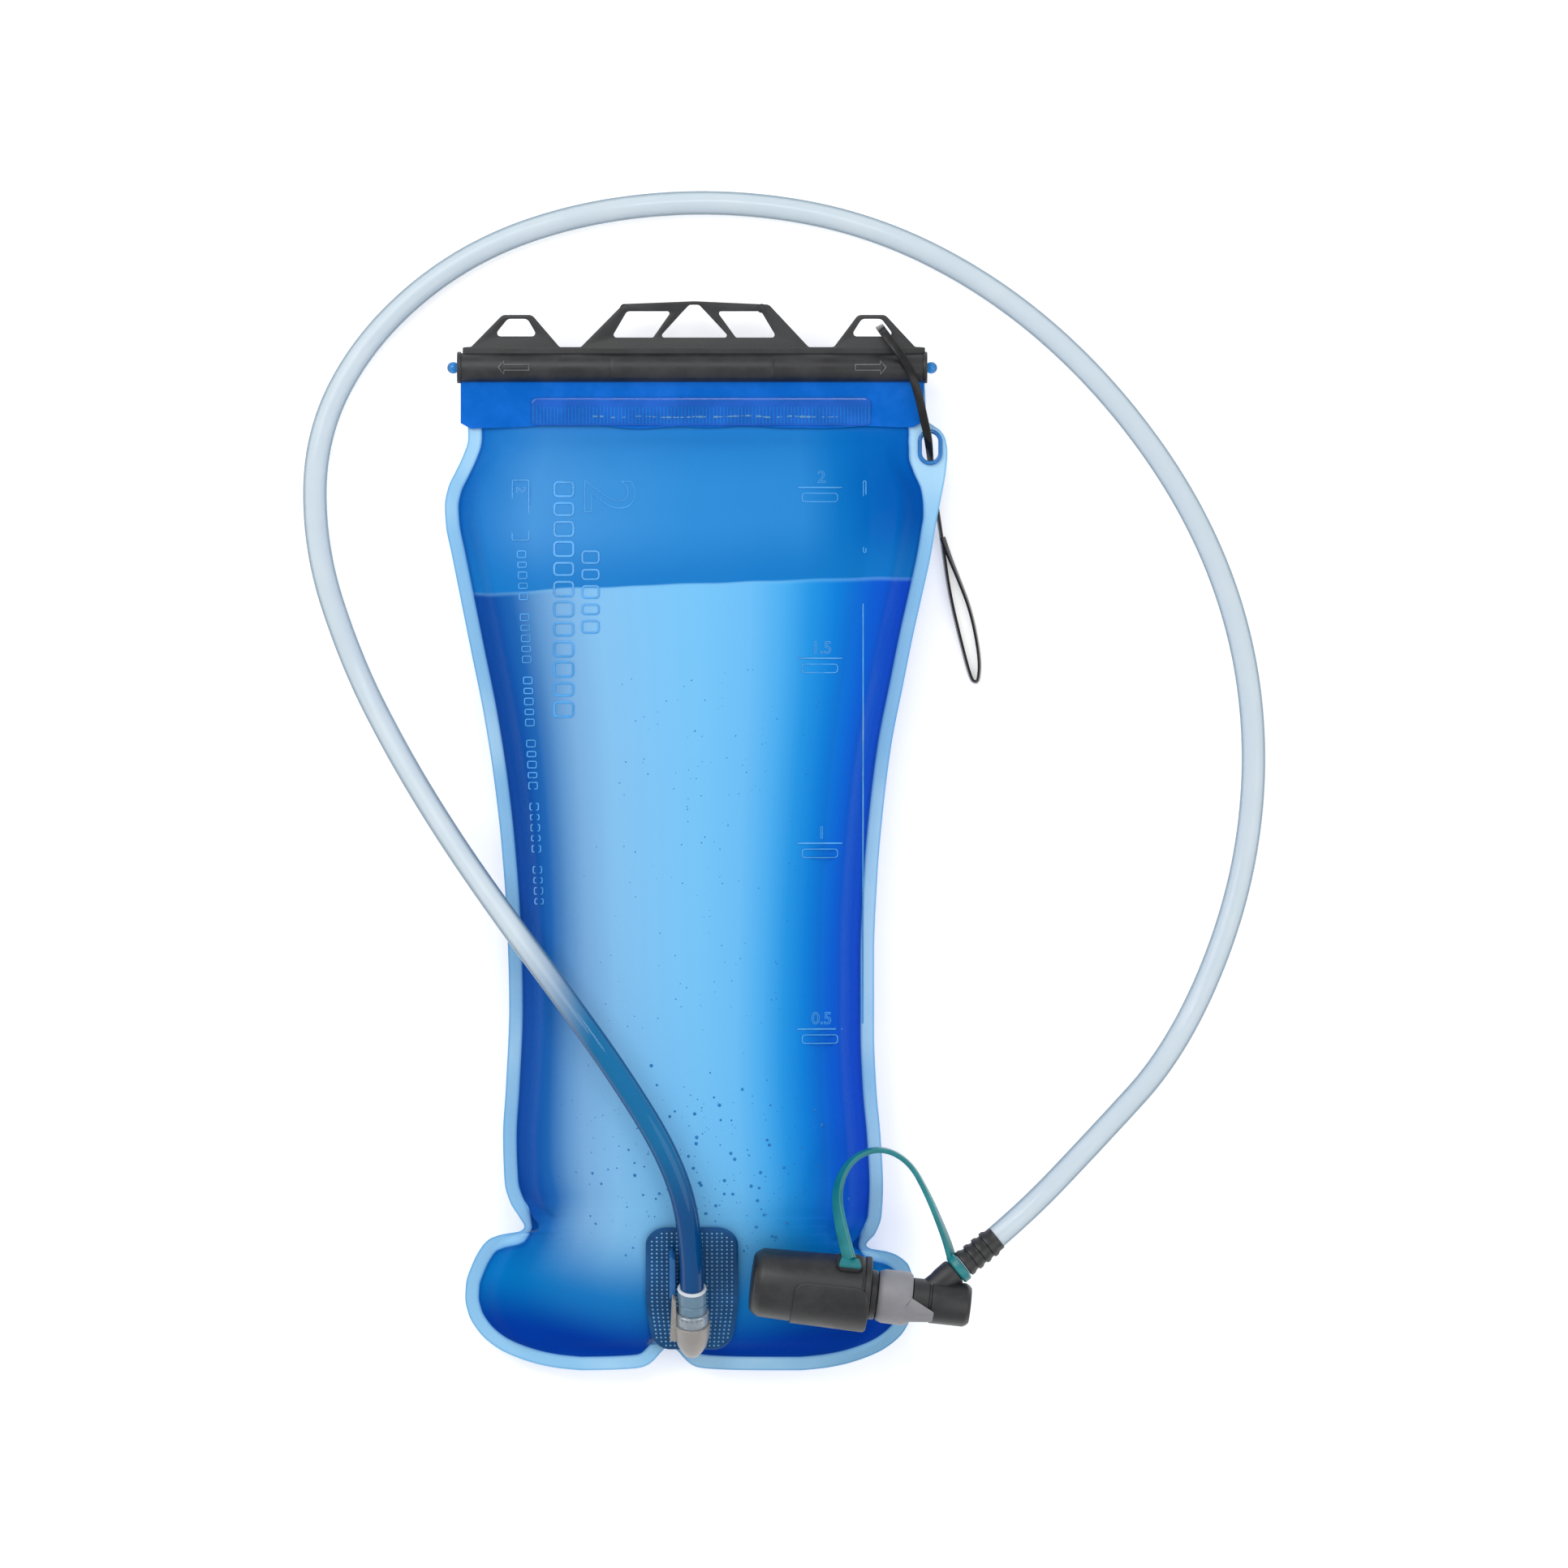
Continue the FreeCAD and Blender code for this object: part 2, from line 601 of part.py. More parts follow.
def make_plug():
    frame = port_frame()
    nose = pole("plug_nose", Radius="socket - plugfit", Height="collarat - noseend", y="noseend",
                z="axisrise")
    tail = pole("plug_tail", Radius="tubeinner - barbfit", Height="hoseat + barblong - collarat",
                y="collarat", z="axisrise")
    bore = pole("plug_bore", Radius="flowbore", Height="barblong + hoseat - noseend + 2",
                y="noseend - 1", z="axisrise")
    groove_solid = pole("groove_outer", Radius="socket + 1", Height=1.4, y="noseend + 1.6", z="axisrise")
    groove_core = pole("groove_core", Radius="socket - 1", Height=1.4, y="noseend + 1.6", z="axisrise")
    groove = cut("plug_groove", groove_solid, groove_core)
    solid = fuse("plug_solid", nose, tail)
    node("hose_plug", cut("hose_plug", solid, fuse("plug_cutters", bore, groove)), frame)

    collar = pole("collar_blank", Radius="collar", Height="hoseat - collarat - 0.05", y="collarat",
                  z="axisrise")
    inside = pole("collar_hole", Radius="tubeinner", Height="hoseat - collarat + 2", y="collarat - 1",
                  z="axisrise")
    node("plug_collar", cut("plug_collar", collar, inside), frame)

    seal = primitive("Torus", "plug_o_ring", Radius1="socket - 0.53", Radius2=0.45)
    place = FreeCAD.Placement(Vec(0, size("noseend") + 2.3, size("axisrise")), ALONG_Y)
    node("plug_o_ring", seal, frame.multiply(place))


# ---------------------------------------------------------------------------------- bite valve
def valve_frame():
    """X along the valve from its cap to its body, Z up; the branch lies in XY at 45 degrees."""
    turn = FreeCAD.Rotation(Z_AXIS, -6.5).multiply(FreeCAD.Rotation(Y_AXIS, 3.0))
    return FreeCAD.Placement(Vec(size("valvex"), size("valvey"), size("valverise")), turn)


def branch_frame():
    """Z along the branch, from the valve's axis outwards."""
    return FreeCAD.Placement(Vec(size("branchat"), 0, 0), FreeCAD.Rotation(Z_AXIS, Vec(1, 1, 0)))


def on_branch(name, **rules):
    """A cylinder along the branch, Start from the valve's axis."""
    start = float(rules.pop("start"))
    obj = primitive("Cylinder", name, **rules)
    obj.Placement = branch_frame().multiply(FreeCAD.Placement(Vec(0, 0, start), FreeCAD.Rotation()))
    return obj


def make_valve():
    frame = valve_frame()
    neck_end = size("neckat")
    ring_end = neck_end + size("ringwide")
    body = bar("valve_barrel", Radius="valveouter", Height="valvelong - sleevelong - 0.2",
               x="sleevelong + 0.2")
    spigot = bar("valve_spigot", Radius="spigot", Height="sleevelong + 1 - flangeat - 2.4",
                 x="flangeat + 2.4")
    flange = bar("valve_flange", Radius="flange", Height=2.6, x="flangeat")
    snout = bar("valve_snout", Radius=4.6, Height=9, x="flangeat - 8.9")
    collar = on_branch("valve_neck", start=0, Radius="neckouter", Height="neckat")
    barb = on_branch("valve_barb", start=neck_end - 1, Radius="tubeinner - barbfit",
                     Height="ringwide + barblong + 1")
    solid = fuse("valve_solid", body, spigot, flange, snout, collar, barb)
    along = bar("valve_bore", Radius=3, Height="branchat - flangeat + 12", x="flangeat - 10")
    across = on_branch("valve_cross_bore", start=0, Radius="flowbore",
                       Height="neckat + ringwide + barblong + 2")
    node("valve_body", cut("valve_body", solid, fuse("valve_bores", along, across)), frame)

    ring = on_branch("strap_ring_blank", start=neck_end + 0.05, Radius="ringouter", Height="ringwide - 0.1")
    hole = on_branch("strap_ring_hole", start=neck_end - 1, Radius="tubeinner", Height="ringwide + 2")
    node("strap_ring", cut("strap_ring", ring, hole), frame)

    sleeve = bar("sleeve_blank", Radius="sleeveouter", Height="sleevelong", x=0.1)
    arm = box("sleeve_arm", Length="sleevelong", Width=7.5, Height=1.6, x="sleevelong - 4", y=-6.8,
              z="valveouter + 0.6")
    pad = box("sleeve_pad", Length=4, Width=7.5, Height=3, x="sleevelong - 4", y=-6.8,
              z="sleeveouter - 3.2")
    sleeve_bore = bar("sleeve_bore", Radius="spigot + sleevefit", Height="sleevelong + 2", x=-1)
    solid = fuse("sleeve_solid", sleeve, arm, pad)
    node("shutoff_sleeve", cut("shutoff_sleeve", solid, sleeve_bore), frame)

    bite = primitive("Cone", "bite_outer", ALONG_X, Radius1="bitewide - 1.6", Radius2="bitewide",
                     Height="bitelong", x="flangeat - bitelong - 0.05")
    bite_bore = bar("bite_bore", Radius=4.65, Height="bitelong - 2.4", x="flangeat - bitelong + 2.4")
    slit = box("bite_slit", Length=4, Width=0.6, Height=9, x="flangeat - bitelong - 1", y=-0.3, z=-4.5)
    node("bite_valve", cut("bite_valve", bite, fuse("bite_cutters", bite_bore, slit)), frame)

    shell = primitive("Cone", "cap_outer", ALONG_X, Radius1="capouter - captaper", Radius2="capouter",
                      Height="caplong", x="flangeat - caplong - 0.1")
    inside = primitive("Cone", "cap_inner", ALONG_X, Radius1="capouter - captaper - capwall",
                       Radius2="capouter - capwall", Height="caplong", x="flangeat - caplong + capwall")
    boss = box("cap_boss", Length=9.4, Width=4.2, Height=7.6, x=-16, y="capouter - 3", z=-3.8)
    solid = fuse("cap_solid", shell, boss)
    node("dust_cap", cut("dust_cap", solid, inside), frame)

    stud = box("cap_button", Length=7.6, Width=1.6, Height=5.8, x=-15.1, y="capouter + 1.25", z=-2.9)
    node("cap_button", fillet("cap_button_round", stud, 1.2, lambda e: not upright(e) and e.Length < 2),
         frame)

    ring = (neck_end + 1.7) / math.sqrt(2)
    points = [
        Vec(size("branchat") + ring - 5.0, ring + 5.0, 0),
        Vec(20.6, 25.0, 0),
        Vec(14.0, 38.0, 0),
        Vec(6.4, 48.4, 0),
        Vec(-4.4, 52.2, 0),
        Vec(-14.0, 47.6, 0),
        Vec(-18.2, 37.4, 0),
        Vec(-16.6, 26.0, 0),
        Vec(-11.8, size("capouter") + 3.5, 0),
    ]
    shape, path, radii = band(points, size("bandwide"), size("bandthick"), Z_AXIS)
    node("cap_strap", feature("cap_strap", shape), frame)
    print("strap: length", round(path.Length, 1), "radii", [round(r, 1) for r in radii])


# ---------------------------------------------------------------------------------- drink tube
def tube_route():
    """From the plug's collar over the bag, down to the floor, round the bag and up to the valve."""
    rest = size("tubeouter") + 0.05
    top = size("fill")
    climb = size("valverise") - 14.5
    start = port_frame().multVec(Vec(0, size("hoseat"), size("axisrise")))
    leave = port_frame().multVec(Vec(0, size("hoseat") + 25.0, size("axisrise")))
    branch = valve_frame().multiply(branch_frame())
    branch_end = size("neckat") + size("ringwide")
    arrive = branch.multVec(Vec(0, 0, branch_end + 25.0))
    end = branch.multVec(Vec(0, 0, branch_end))
    middle = [
        Vec(-7.5, -114.0, top + 12.0),
        Vec(-26.0, -84.0, top + 14.8),
        Vec(-47.0, -55.0, top + 7.4),
        Vec(-68.0, -27.0, top - 6.6),
        Vec(-87.0, 0.0, top - 22.6),
        Vec(-105.0, 29.0, 13.0),
        Vec(-122.0, 62.0, rest),
        Vec(-135.5, 103.0, rest),
        Vec(-135.0, 145.0, rest),
        Vec(-115.0, 181.0, rest),
        Vec(-80.0, 209.5, rest),
        Vec(-36.0, 224.5, rest),
        Vec(14.0, 228.0, rest),
        Vec(63.0, 219.5, rest),
        Vec(108.0, 197.0, rest),
        Vec(147.0, 163.0, rest),
        Vec(179.0, 119.0, rest),
        Vec(197.5, 72.0, rest),
        Vec(202.5, 22.0, rest),
        Vec(194.5, -28.0, rest),
        Vec(173.0, -77.0, 0.36 * climb),
        Vec(144.0, -108.0, climb),
    ]
    return [start, leave] + middle + [arrive, end]


def make_tube():
    points = tube_route()
    path, radii = rounded_path(points)
    outer, inner = size("tubeouter"), size("tubeinner")
    profile = ring_face(points[0], points[1] - points[0], outer, inner)
    tube = path.makePipe(profile)
    node("drink_tube", feature("drink_tube", tube))
    runs = [(b - a).Length for a, b in zip(points, points[1:])]
    section = math.pi * (outer ** 2 - inner ** 2)
    print("tube: length", round(path.Length, 1), "volume", round(tube.Volume, 1),
          "section x length", round(section * path.Length, 1))
    print("tube radii", [round(r, 1) for r in radii])
    print("tube runs", [round(r, 1) for r in runs])
    first = port_frame().Rotation.multVec(Y_AXIS).getAngle(points[1] - points[0])
    last = valve_frame().multiply(branch_frame()).Rotation.multVec(Z_AXIS).getAngle(points[-2] - points[-1])
    print("exit angles", round(math.degrees(first), 1), round(math.degrees(last), 1))


make_films()
make_closure()
make_slider()
make_hanging_tab()
make_port()
make_plug()
make_valve()
make_tube()
doc.recompute()

# ---------------------------------------------------------------------------------- checks and export
failed = [o.Name for o in doc.Objects if "Invalid" in o.State or "Error" in o.State]
for label, obj in nodes.items():
    if obj.Shape.isNull() or not obj.Shape.isValid() or not obj.Shape.Solids:
        failed.append(label)
if failed:
    raise RuntimeError(f"these objects failed: {sorted(set(failed))}")

os.makedirs("parts", exist_ok=True)
for label, obj in nodes.items():
    obj.Shape.exportStep(f"parts/{label}.step")
    bounds = obj.Shape.BoundBox
    print(label, len(obj.Shape.Solids), "solids", round(obj.Shape.Volume, 1), "mm3",
          [round(v, 1) for v in (bounds.XMin, bounds.XMax, bounds.YMin, bounds.YMax,
                                 bounds.ZMin, bounds.ZMax)])
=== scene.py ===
"""Looks of a full hydration bladder on its back: films, closure, port, drink tube and bite valve."""
import json
import math
import random

import bpy
import numpy as np
from bpy.props import FloatProperty, FloatVectorProperty, IntProperty, PointerProperty
from mathutils import Matrix, Vector, noise


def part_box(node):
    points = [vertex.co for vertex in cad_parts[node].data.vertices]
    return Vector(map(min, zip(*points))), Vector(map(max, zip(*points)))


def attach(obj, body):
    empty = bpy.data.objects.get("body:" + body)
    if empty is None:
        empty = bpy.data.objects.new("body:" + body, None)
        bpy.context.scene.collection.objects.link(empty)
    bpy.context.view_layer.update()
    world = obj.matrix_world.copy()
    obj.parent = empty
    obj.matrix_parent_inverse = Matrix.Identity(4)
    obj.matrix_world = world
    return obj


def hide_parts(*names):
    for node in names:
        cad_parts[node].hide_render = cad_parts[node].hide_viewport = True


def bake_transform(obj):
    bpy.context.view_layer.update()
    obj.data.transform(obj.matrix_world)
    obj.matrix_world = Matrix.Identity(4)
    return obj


bl_info = {
    "name": "Hydration bladder",
    "version": (1, 0, 0),
    "blender": (4, 5, 0),
    "location": "3D View > Sidebar > Bladder",
    "description": "Builds a hydration bladder's films, closure, port, drink tube and bite valve",
    "category": "Object",
}

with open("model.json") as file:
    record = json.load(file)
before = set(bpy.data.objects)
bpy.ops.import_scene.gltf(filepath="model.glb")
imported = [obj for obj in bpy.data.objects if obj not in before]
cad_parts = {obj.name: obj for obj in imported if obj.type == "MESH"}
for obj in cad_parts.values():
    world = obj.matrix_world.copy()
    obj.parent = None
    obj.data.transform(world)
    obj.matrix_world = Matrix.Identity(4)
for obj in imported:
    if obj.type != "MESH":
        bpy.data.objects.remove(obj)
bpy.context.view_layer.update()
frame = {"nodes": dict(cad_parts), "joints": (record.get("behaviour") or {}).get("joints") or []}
JOINTS = {joint["name"]: joint for joint in frame["joints"]}
MM = 0.001
LEAST_RADIUS = 0.01    # millimetres, where a turned outline meets its axis
X_AXIS, Y_AXIS, Z_AXIS = Vector((1, 0, 0)), Vector((0, 1, 0)), Vector((0, 0, 1))


# ------------------------------------------------------------------------------------ settings
def tint(name, description, colour):
    return FloatVectorProperty(name=name, description=description, subtype="COLOR", size=3,
                               min=0, max=1, default=colour)


def length(name, description, millimetres):
    return FloatProperty(name=name, description=description, subtype="DISTANCE", unit="LENGTH",
                         min=0, default=millimetres * MM)


class FilmSettings(bpy.types.PropertyGroup):
    thickness: length("Film", "Thickness of one film", 0.5)
    border: length("Weld border", "Width of the welded border", 4.8)
    water_line: length("Water line", "How far up the bag the water reaches", 89.6)
    columns: IntProperty(name="Columns", description="Faces across the bulge", default=120, min=20)
    light: tint("Lit film", "Where light comes through the middle of the bag", (0.17, 0.50, 0.88))
    # painted shade round the foot of the bag
    deep: tint("Deep film", "Round the foot of the bag", (0.0006, 0.040, 0.345))
    rim: tint("Border", "The welded border", (0.27, 0.55, 0.82))


class HardwareSettings(bpy.types.PropertyGroup):
    black: tint("Black plastic", "Slider, valve and cap", (0.012, 0.0125, 0.014))
    grey: tint("Grey plastic", "Shut-off sleeve, its poppet and the lock ring's ticks", (0.215, 0.215, 0.235))
    teal: tint("Teal rubber", "Cap strap, its ring and its button", (0.004, 0.17, 0.19))
    edge: length("Edge", "Rounding of moulded edges", 0.35)


class TubeSettings(bpy.types.PropertyGroup):
    diameter: length("Tube", "Outer diameter of the drink tube", 8.6)
    wall: length("Wall", "Wall of the drink tube", 1.15)
    tint: tint("Tube tint", "Clear tube", (0.72, 0.83, 0.91))
    wet: tint("Tube over the bag", "What the tube carries of the blue behind it", (0.003, 0.185, 0.44))


class StageSettings(bpy.types.PropertyGroup):
    view_width: length("View width", "Width of the view at the bag", 560.3)
    lens: FloatProperty(name="Lens", description="Focal length", default=420, min=20,
                        subtype="DISTANCE_CAMERA")
    floor: tint("Floor", "Plain pale floor", (0.93, 0.93, 0.93))


def film():
    return bpy.context.scene.bladder_film


def hardware():
    return bpy.context.scene.bladder_hardware


def tube():
    return bpy.context.scene.bladder_tube


def stage():
    return bpy.context.scene.bladder_stage


# ------------------------------------------------------------------------------------ making
def bare():
    """Object mode with nothing selected."""
    if bpy.context.object is not None and bpy.context.object.mode != "OBJECT":
        bpy.ops.object.mode_set(mode="OBJECT")
    bpy.ops.object.select_all(action="DESELECT")


def pick(obj):
    bare()
    obj.select_set(True)
    bpy.context.view_layer.objects.active = obj
    return obj


def added(name):
    """Names the object that an operator has just added."""
    obj = bpy.context.object
    obj.name = name
    obj.data.name = name
    return obj


def linked(name, data):
    """Puts new data into the scene as an object."""
    obj = bpy.data.objects.new(name, data)
    bpy.context.scene.collection.objects.link(obj)
    return obj


def faced(name, points, faces):
    """An object from its points, in metres, and its faces."""
    mesh = bpy.data.meshes.new(name)
    mesh.from_pydata(points, [], faces)
    return linked(name, mesh)


def shift(x, y, z):
    """A move given in millimetres."""
    return Matrix.Translation(Vector((x, y, z)) * MM)


def edit(obj):
    pick(obj)
    bpy.ops.object.mode_set(mode="EDIT")
    bpy.ops.mesh.select_all(action="SELECT")


def seal(obj, gap=2e-5):
    """Closes seams and turns every face outwards."""
    edit(obj)
    bpy.ops.mesh.remove_doubles(threshold=gap)
    bpy.ops.mesh.normals_make_consistent(inside=False)
    bpy.ops.object.mode_set(mode="OBJECT")
    return obj


def modify(obj, kind, **values):
    """Adds a modifier, sets it and applies it."""
    pick(obj)
    modifier = obj.modifiers.new(kind.title(), kind)
    for key, value in values.items():
        setattr(modifier, key, value)
    bpy.ops.object.modifier_apply(modifier=modifier.name)
    return obj


def soften(obj, width=None, segments=2, angle=35):
    """Rounds the sharp edges of a moulded piece."""
    width = hardware().edge if width is None else width
    return modify(obj, "BEVEL", width=width, segments=segments, limit_method="ANGLE",
                  angle_limit=math.radians(angle), use_clamp_overlap=True)


def put(obj, place):
    """Moves a mesh to its place; its object stays at the origin."""
    obj.data.transform(place)
    obj.matrix_world = Matrix.Identity(4)
    return obj


def dress(obj, material, body, stands_for=(), smooth=38):
    """Gives a finished piece its material and its body, and hides the CAD nodes it stands for."""
    pick(obj)
    if obj.type == "MESH":
        bpy.ops.object.shade_smooth_by_angle(angle=math.radians(smooth))
    if material is not None:
        obj.data.materials.clear()
        obj.data.materials.append(material)
    if body is not None:
        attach(obj, body)
    if stands_for:
        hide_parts(*stands_for)
    return obj


def join(name, pieces):
    """Joins finished meshes into the first of them."""
    bare()
    for piece in pieces:
        piece.select_set(True)
    bpy.context.view_layer.objects.active = pieces[0]
    if len(pieces) > 1:
        bpy.ops.object.join()
    return added(name)


def turned(name, outline, place=Matrix.Identity(4), sides=64):
    """A turned piece: a circle extruded and scaled along Z through (along, radius) in millimetres."""
    stations = [(along * MM, max(radius, LEAST_RADIUS) * MM) for along, radius in outline]
    bare()
    bpy.ops.mesh.primitive_circle_add(vertices=sides, radius=stations[0][1], fill_type="NOTHING",
                                      location=(0, 0, stations[0][0]))
    obj = added(name)
    bpy.ops.object.transform_apply()
    edit(obj)
    for (low, before), (high, after) in zip(stations, stations[1:]):
        bpy.ops.mesh.extrude_region_move(TRANSFORM_OT_translate={"value": (0, 0, high - low)})
        if after != before:
            scale = after / before
            bpy.ops.transform.resize(value=(scale, scale, 1), center_override=(0, 0, high))
    seal(obj)
    return put(obj, place)


def rounded(corners, radius, steps=5):
    """The outline of a polygon with its corners rounded: one radius, or one for each corner."""
    radii = radius if hasattr(radius, "__len__") else [radius] * len(corners)
    points = []
    for i, corner in enumerate(corners):
        here = Vector(corner)
        back = (Vector(corners[i - 1]) - here).normalized()
        ahead = (Vector(corners[(i + 1) % len(corners)]) - here).normalized()
        half = back.angle(ahead) / 2
        trim = radii[i] / math.tan(half)
        centre = here + (back + ahead).normalized() * (radii[i] / math.sin(half))
        start, end = here + back * trim - centre, here + ahead * trim - centre
        sweep = start.angle_signed(end)
        for k in range(steps + 1):
            turn = -sweep * k / steps
            cos, sin = math.cos(turn), math.sin(turn)
            points.append(centre + Vector((start.x * cos - start.y * sin, start.x * sin + start.y * cos)))
    return points


def outlined(curve, loop):
    """Adds a closed flat outline, in millimetres, to a curve."""
    spline = curve.splines.new("POLY")
    spline.points.add(len(loop) - 1)
    for point, (x, y) in zip(spline.points, loop):
        point.co = (x * MM, y * MM, 0, 1)
    spline.use_cyclic_u = True


def plate(name, loops, thick, edge=0.3, place=Matrix.Identity(4)):
    """A flat moulding in XY, centred on z = 0: an outline and its windows, in millimetres."""
    curve = bpy.data.curves.new(name, "CURVE")
    curve.dimensions = "2D"
    curve.fill_mode = "BOTH"
    for loop in loops:
        outlined(curve, loop)
    curve.extrude = (thick / 2 - edge) * MM
    curve.bevel_depth = edge * MM
    curve.bevel_resolution = 2
    curve.offset = -edge * MM
    obj = linked(name, curve)
    pick(obj)
    bpy.ops.object.convert(target="MESH")
    seal(obj, 2e-6)
    return put(obj, place)


def pad(name, wide, long, corner, thick, soft, shape=None, steps=(24, 24)):
    """A rounded pad in XY on z = 0, from a grid; shape(x, y, z), in millimetres, then bends it."""
    bare()
    bpy.ops.mesh.primitive_grid_add(x_subdivisions=steps[0], y_subdivisions=steps[1], size=1)
    obj = added(name)
    for vertex in obj.data.vertices:
        x, y = vertex.co.x * wide, vertex.co.y * long
        over_x = abs(x) - (wide / 2 - corner)
        over_y = abs(y) - (long / 2 - corner)
        if over_x > 0 and over_y > 0:
            pull = max(over_x, over_y) / math.hypot(over_x, over_y)
            x = math.copysign(wide / 2 - corner + over_x * pull, x)
            y = math.copysign(long / 2 - corner + over_y * pull, y)
        vertex.co = (x * MM, y * MM, 0)
    modify(obj, "SOLIDIFY", thickness=thick * MM, offset=1)
    seal(obj, 1e-6)
    soften(obj, soft * MM, 2, 50)
    if shape is not None:
        for vertex in obj.data.vertices:
            vertex.co = Vector(shape(*(vertex.co / MM))) * MM
    return obj


def line_through(knots):
    """A smooth function through (x, y) knots that doesn't overshoot them."""
    knots = sorted(knots)
    xs = np.array([k[0] for k in knots], float)
    ys = np.array([k[1] for k in knots], float)
    gaps, rises = np.diff(xs), np.diff(ys) / np.diff(xs)
    slopes = np.zeros(len(xs))
    for i in range(1, len(xs) - 1):
        if rises[i - 1] * rises[i] > 0:
            first, second = 2 * gaps[i] + gaps[i - 1], gaps[i] + 2 * gaps[i - 1]
            slopes[i] = (first + second) / (first / rises[i - 1] + second / rises[i])
    slopes[0], slopes[-1] = rises[0], rises[-1]

    def value(x):
        x = min(max(x, xs[0]), xs[-1])
        i = min(int(np.searchsorted(xs, x, side="right")) - 1, len(gaps) - 1)
        t = (x - xs[i]) / gaps[i]
        ease = t * t * (3 - 2 * t)
        carry = gaps[i] * (slopes[i] * t * (1 - t) ** 2 - slopes[i + 1] * t * t * (1 - t))
        return float(ys[i] + (ys[i + 1] - ys[i]) * ease + carry)

    return value


def fade(value, start, end):
    """0 at start, 1 at end, smoothly."""
    t = min(max((value - start) / (end - start), 0.0), 1.0)
    return t * t * (3 - 2 * t)


def spline_curve(name, points, order=3):
    """An open NURBS curve through its control points, in metres."""
    curve = bpy.data.curves.new(name, "CURVE")
    curve.dimensions = "3D"
    spline = curve.splines.new("NURBS")
    spline.points.add(len(points) - 1)
    for point, co in zip(spline.points, points):
        point.co = (*co, 1)
    spline.order_u = order
    spline.use_endpoint_u = True
    return linked(name, curve)


def strap(name, points, wide, thick, tilts, resolution=14):
    """A flat strap of rounded section along a NURBS route; tilts turn it, one for each point."""
    half_wide, half_thick = wide / 2, thick / 2
    corners = [(-half_wide, -half_thick), (half_wide, -half_thick), (half_wide, half_thick),
               (-half_wide, half_thick)]
    section = bpy.data.curves.new(name + "_section", "CURVE")
    section.dimensions = "2D"
    outlined(section, rounded(corners, min(half_wide, half_thick) * 0.6, 3))
    profile = linked(name + "_section", section)
    obj = spline_curve(name, [Vector(p) * MM for p in points])
    obj.data.splines[0].resolution_u = resolution
    obj.data.twist_mode = "Z_UP"
    for point, tilt in zip(obj.data.splines[0].points, tilts):
        point.tilt = math.radians(tilt)
    obj.data.bevel_mode = "OBJECT"
    obj.data.bevel_object = profile
    obj.data.use_fill_caps = True
    pick(obj)
    bpy.ops.object.convert(target="MESH")
    bpy.data.objects.remove(profile)
    return seal(obj, 1e-6)


# ------------------------------------------------------------------------------------ materials
def feed(tree, socket, source):
    """Links a socket to another's output, or sets it to a plain value."""
    if hasattr(source, "is_output"):
        tree.links.new(source, socket)
    elif socket.type == "RGBA":
        socket.default_value = (*source, 1)
    else:
        socket.default_value = source


class Mix:
    """A short hand for building one material's nodes."""

    def __init__(self, name):
        self.material = bpy.data.materials.new(name)
        self.material.use_nodes = True
        self.tree = self.material.node_tree
        self.shader = self.tree.nodes["Principled BSDF"]

    def link(self, output, target):
        self.tree.links.new(output, target)

    def set(self, **values):
        for key, value in values.items():
            feed(self.tree, self.shader.inputs[key.replace("_", " ")], value)

    def group(self, builder, **values):
        node = self.tree.nodes.new("ShaderNodeGroup")
        node.node_tree = builder()
        for key, value in values.items():
            feed(self.tree, node.inputs[key], value)
        return node

    def bump(self, height, distance, strength):
        node = self.tree.nodes.new("ShaderNodeBump")
        for key, value in (("Distance", distance), ("Strength", strength), ("Height", height)):
            feed(self.tree, node.inputs[key], value)
        self.link(node.outputs["Normal"], self.shader.inputs["Normal"])


def noise_at(tree, place, **values):
    """A noise texture at a place; returns its value."""
    node = tree.nodes.new("ShaderNodeTexNoise")
    for key, value in (("Vector", place), *values.items()):
        feed(tree, node.inputs[key], value)
    return node.outputs["Fac"]


def group_tree(name, inputs, outputs):
    """A shader node group and its two ends, which are None when the group was made before."""
    tree = bpy.data.node_groups.get(name)
    if tree is not None:
        return tree, None, None
    tree = bpy.data.node_groups.new(name, "ShaderNodeTree")
    kinds = {"value": "NodeSocketFloat", "colour": "NodeSocketColor"}
    for side, sockets in (("INPUT", inputs), ("OUTPUT", outputs)):
        for label, kind in sockets:
            tree.interface.new_socket(name=label, in_out=side, socket_type=kinds[kind])
    return tree, tree.nodes.new("NodeGroupInput"), tree.nodes.new("NodeGroupOutput")


def maths(tree, operation, *sources):
    """A Math node fed by sockets or plain numbers; returns its output."""
    node = tree.nodes.new("ShaderNodeMath")
    node.operation = operation
    for socket, source in zip(node.inputs, sources):
        feed(tree, socket, source)
    return node.outputs[0]


def blend_colours(tree, factor, first, second):
    """From one colour to another; returns the output."""
    node = tree.nodes.new("ShaderNodeMix")
    node.data_type = "RGBA"
    for socket, source in ((0, factor), (6, first), (7, second)):    # the colour mix's own sockets
        feed(tree, node.inputs[socket], source)
    return node.outputs[2]


def colour_ramp(tree, source, stops):
    """A colour for each value from 0 to 1; returns its output."""
    node = tree.nodes.new("ShaderNodeValToRGB")
    ramp = node.color_ramp
    for _ in stops[2:]:
        ramp.elements.new(0.5)
    for element, (at, colour) in zip(ramp.elements, stops):
        element.position = at
        element.color = (*colour, 1)
    tree.links.new(source, node.inputs[0])
    return node.outputs["Color"]


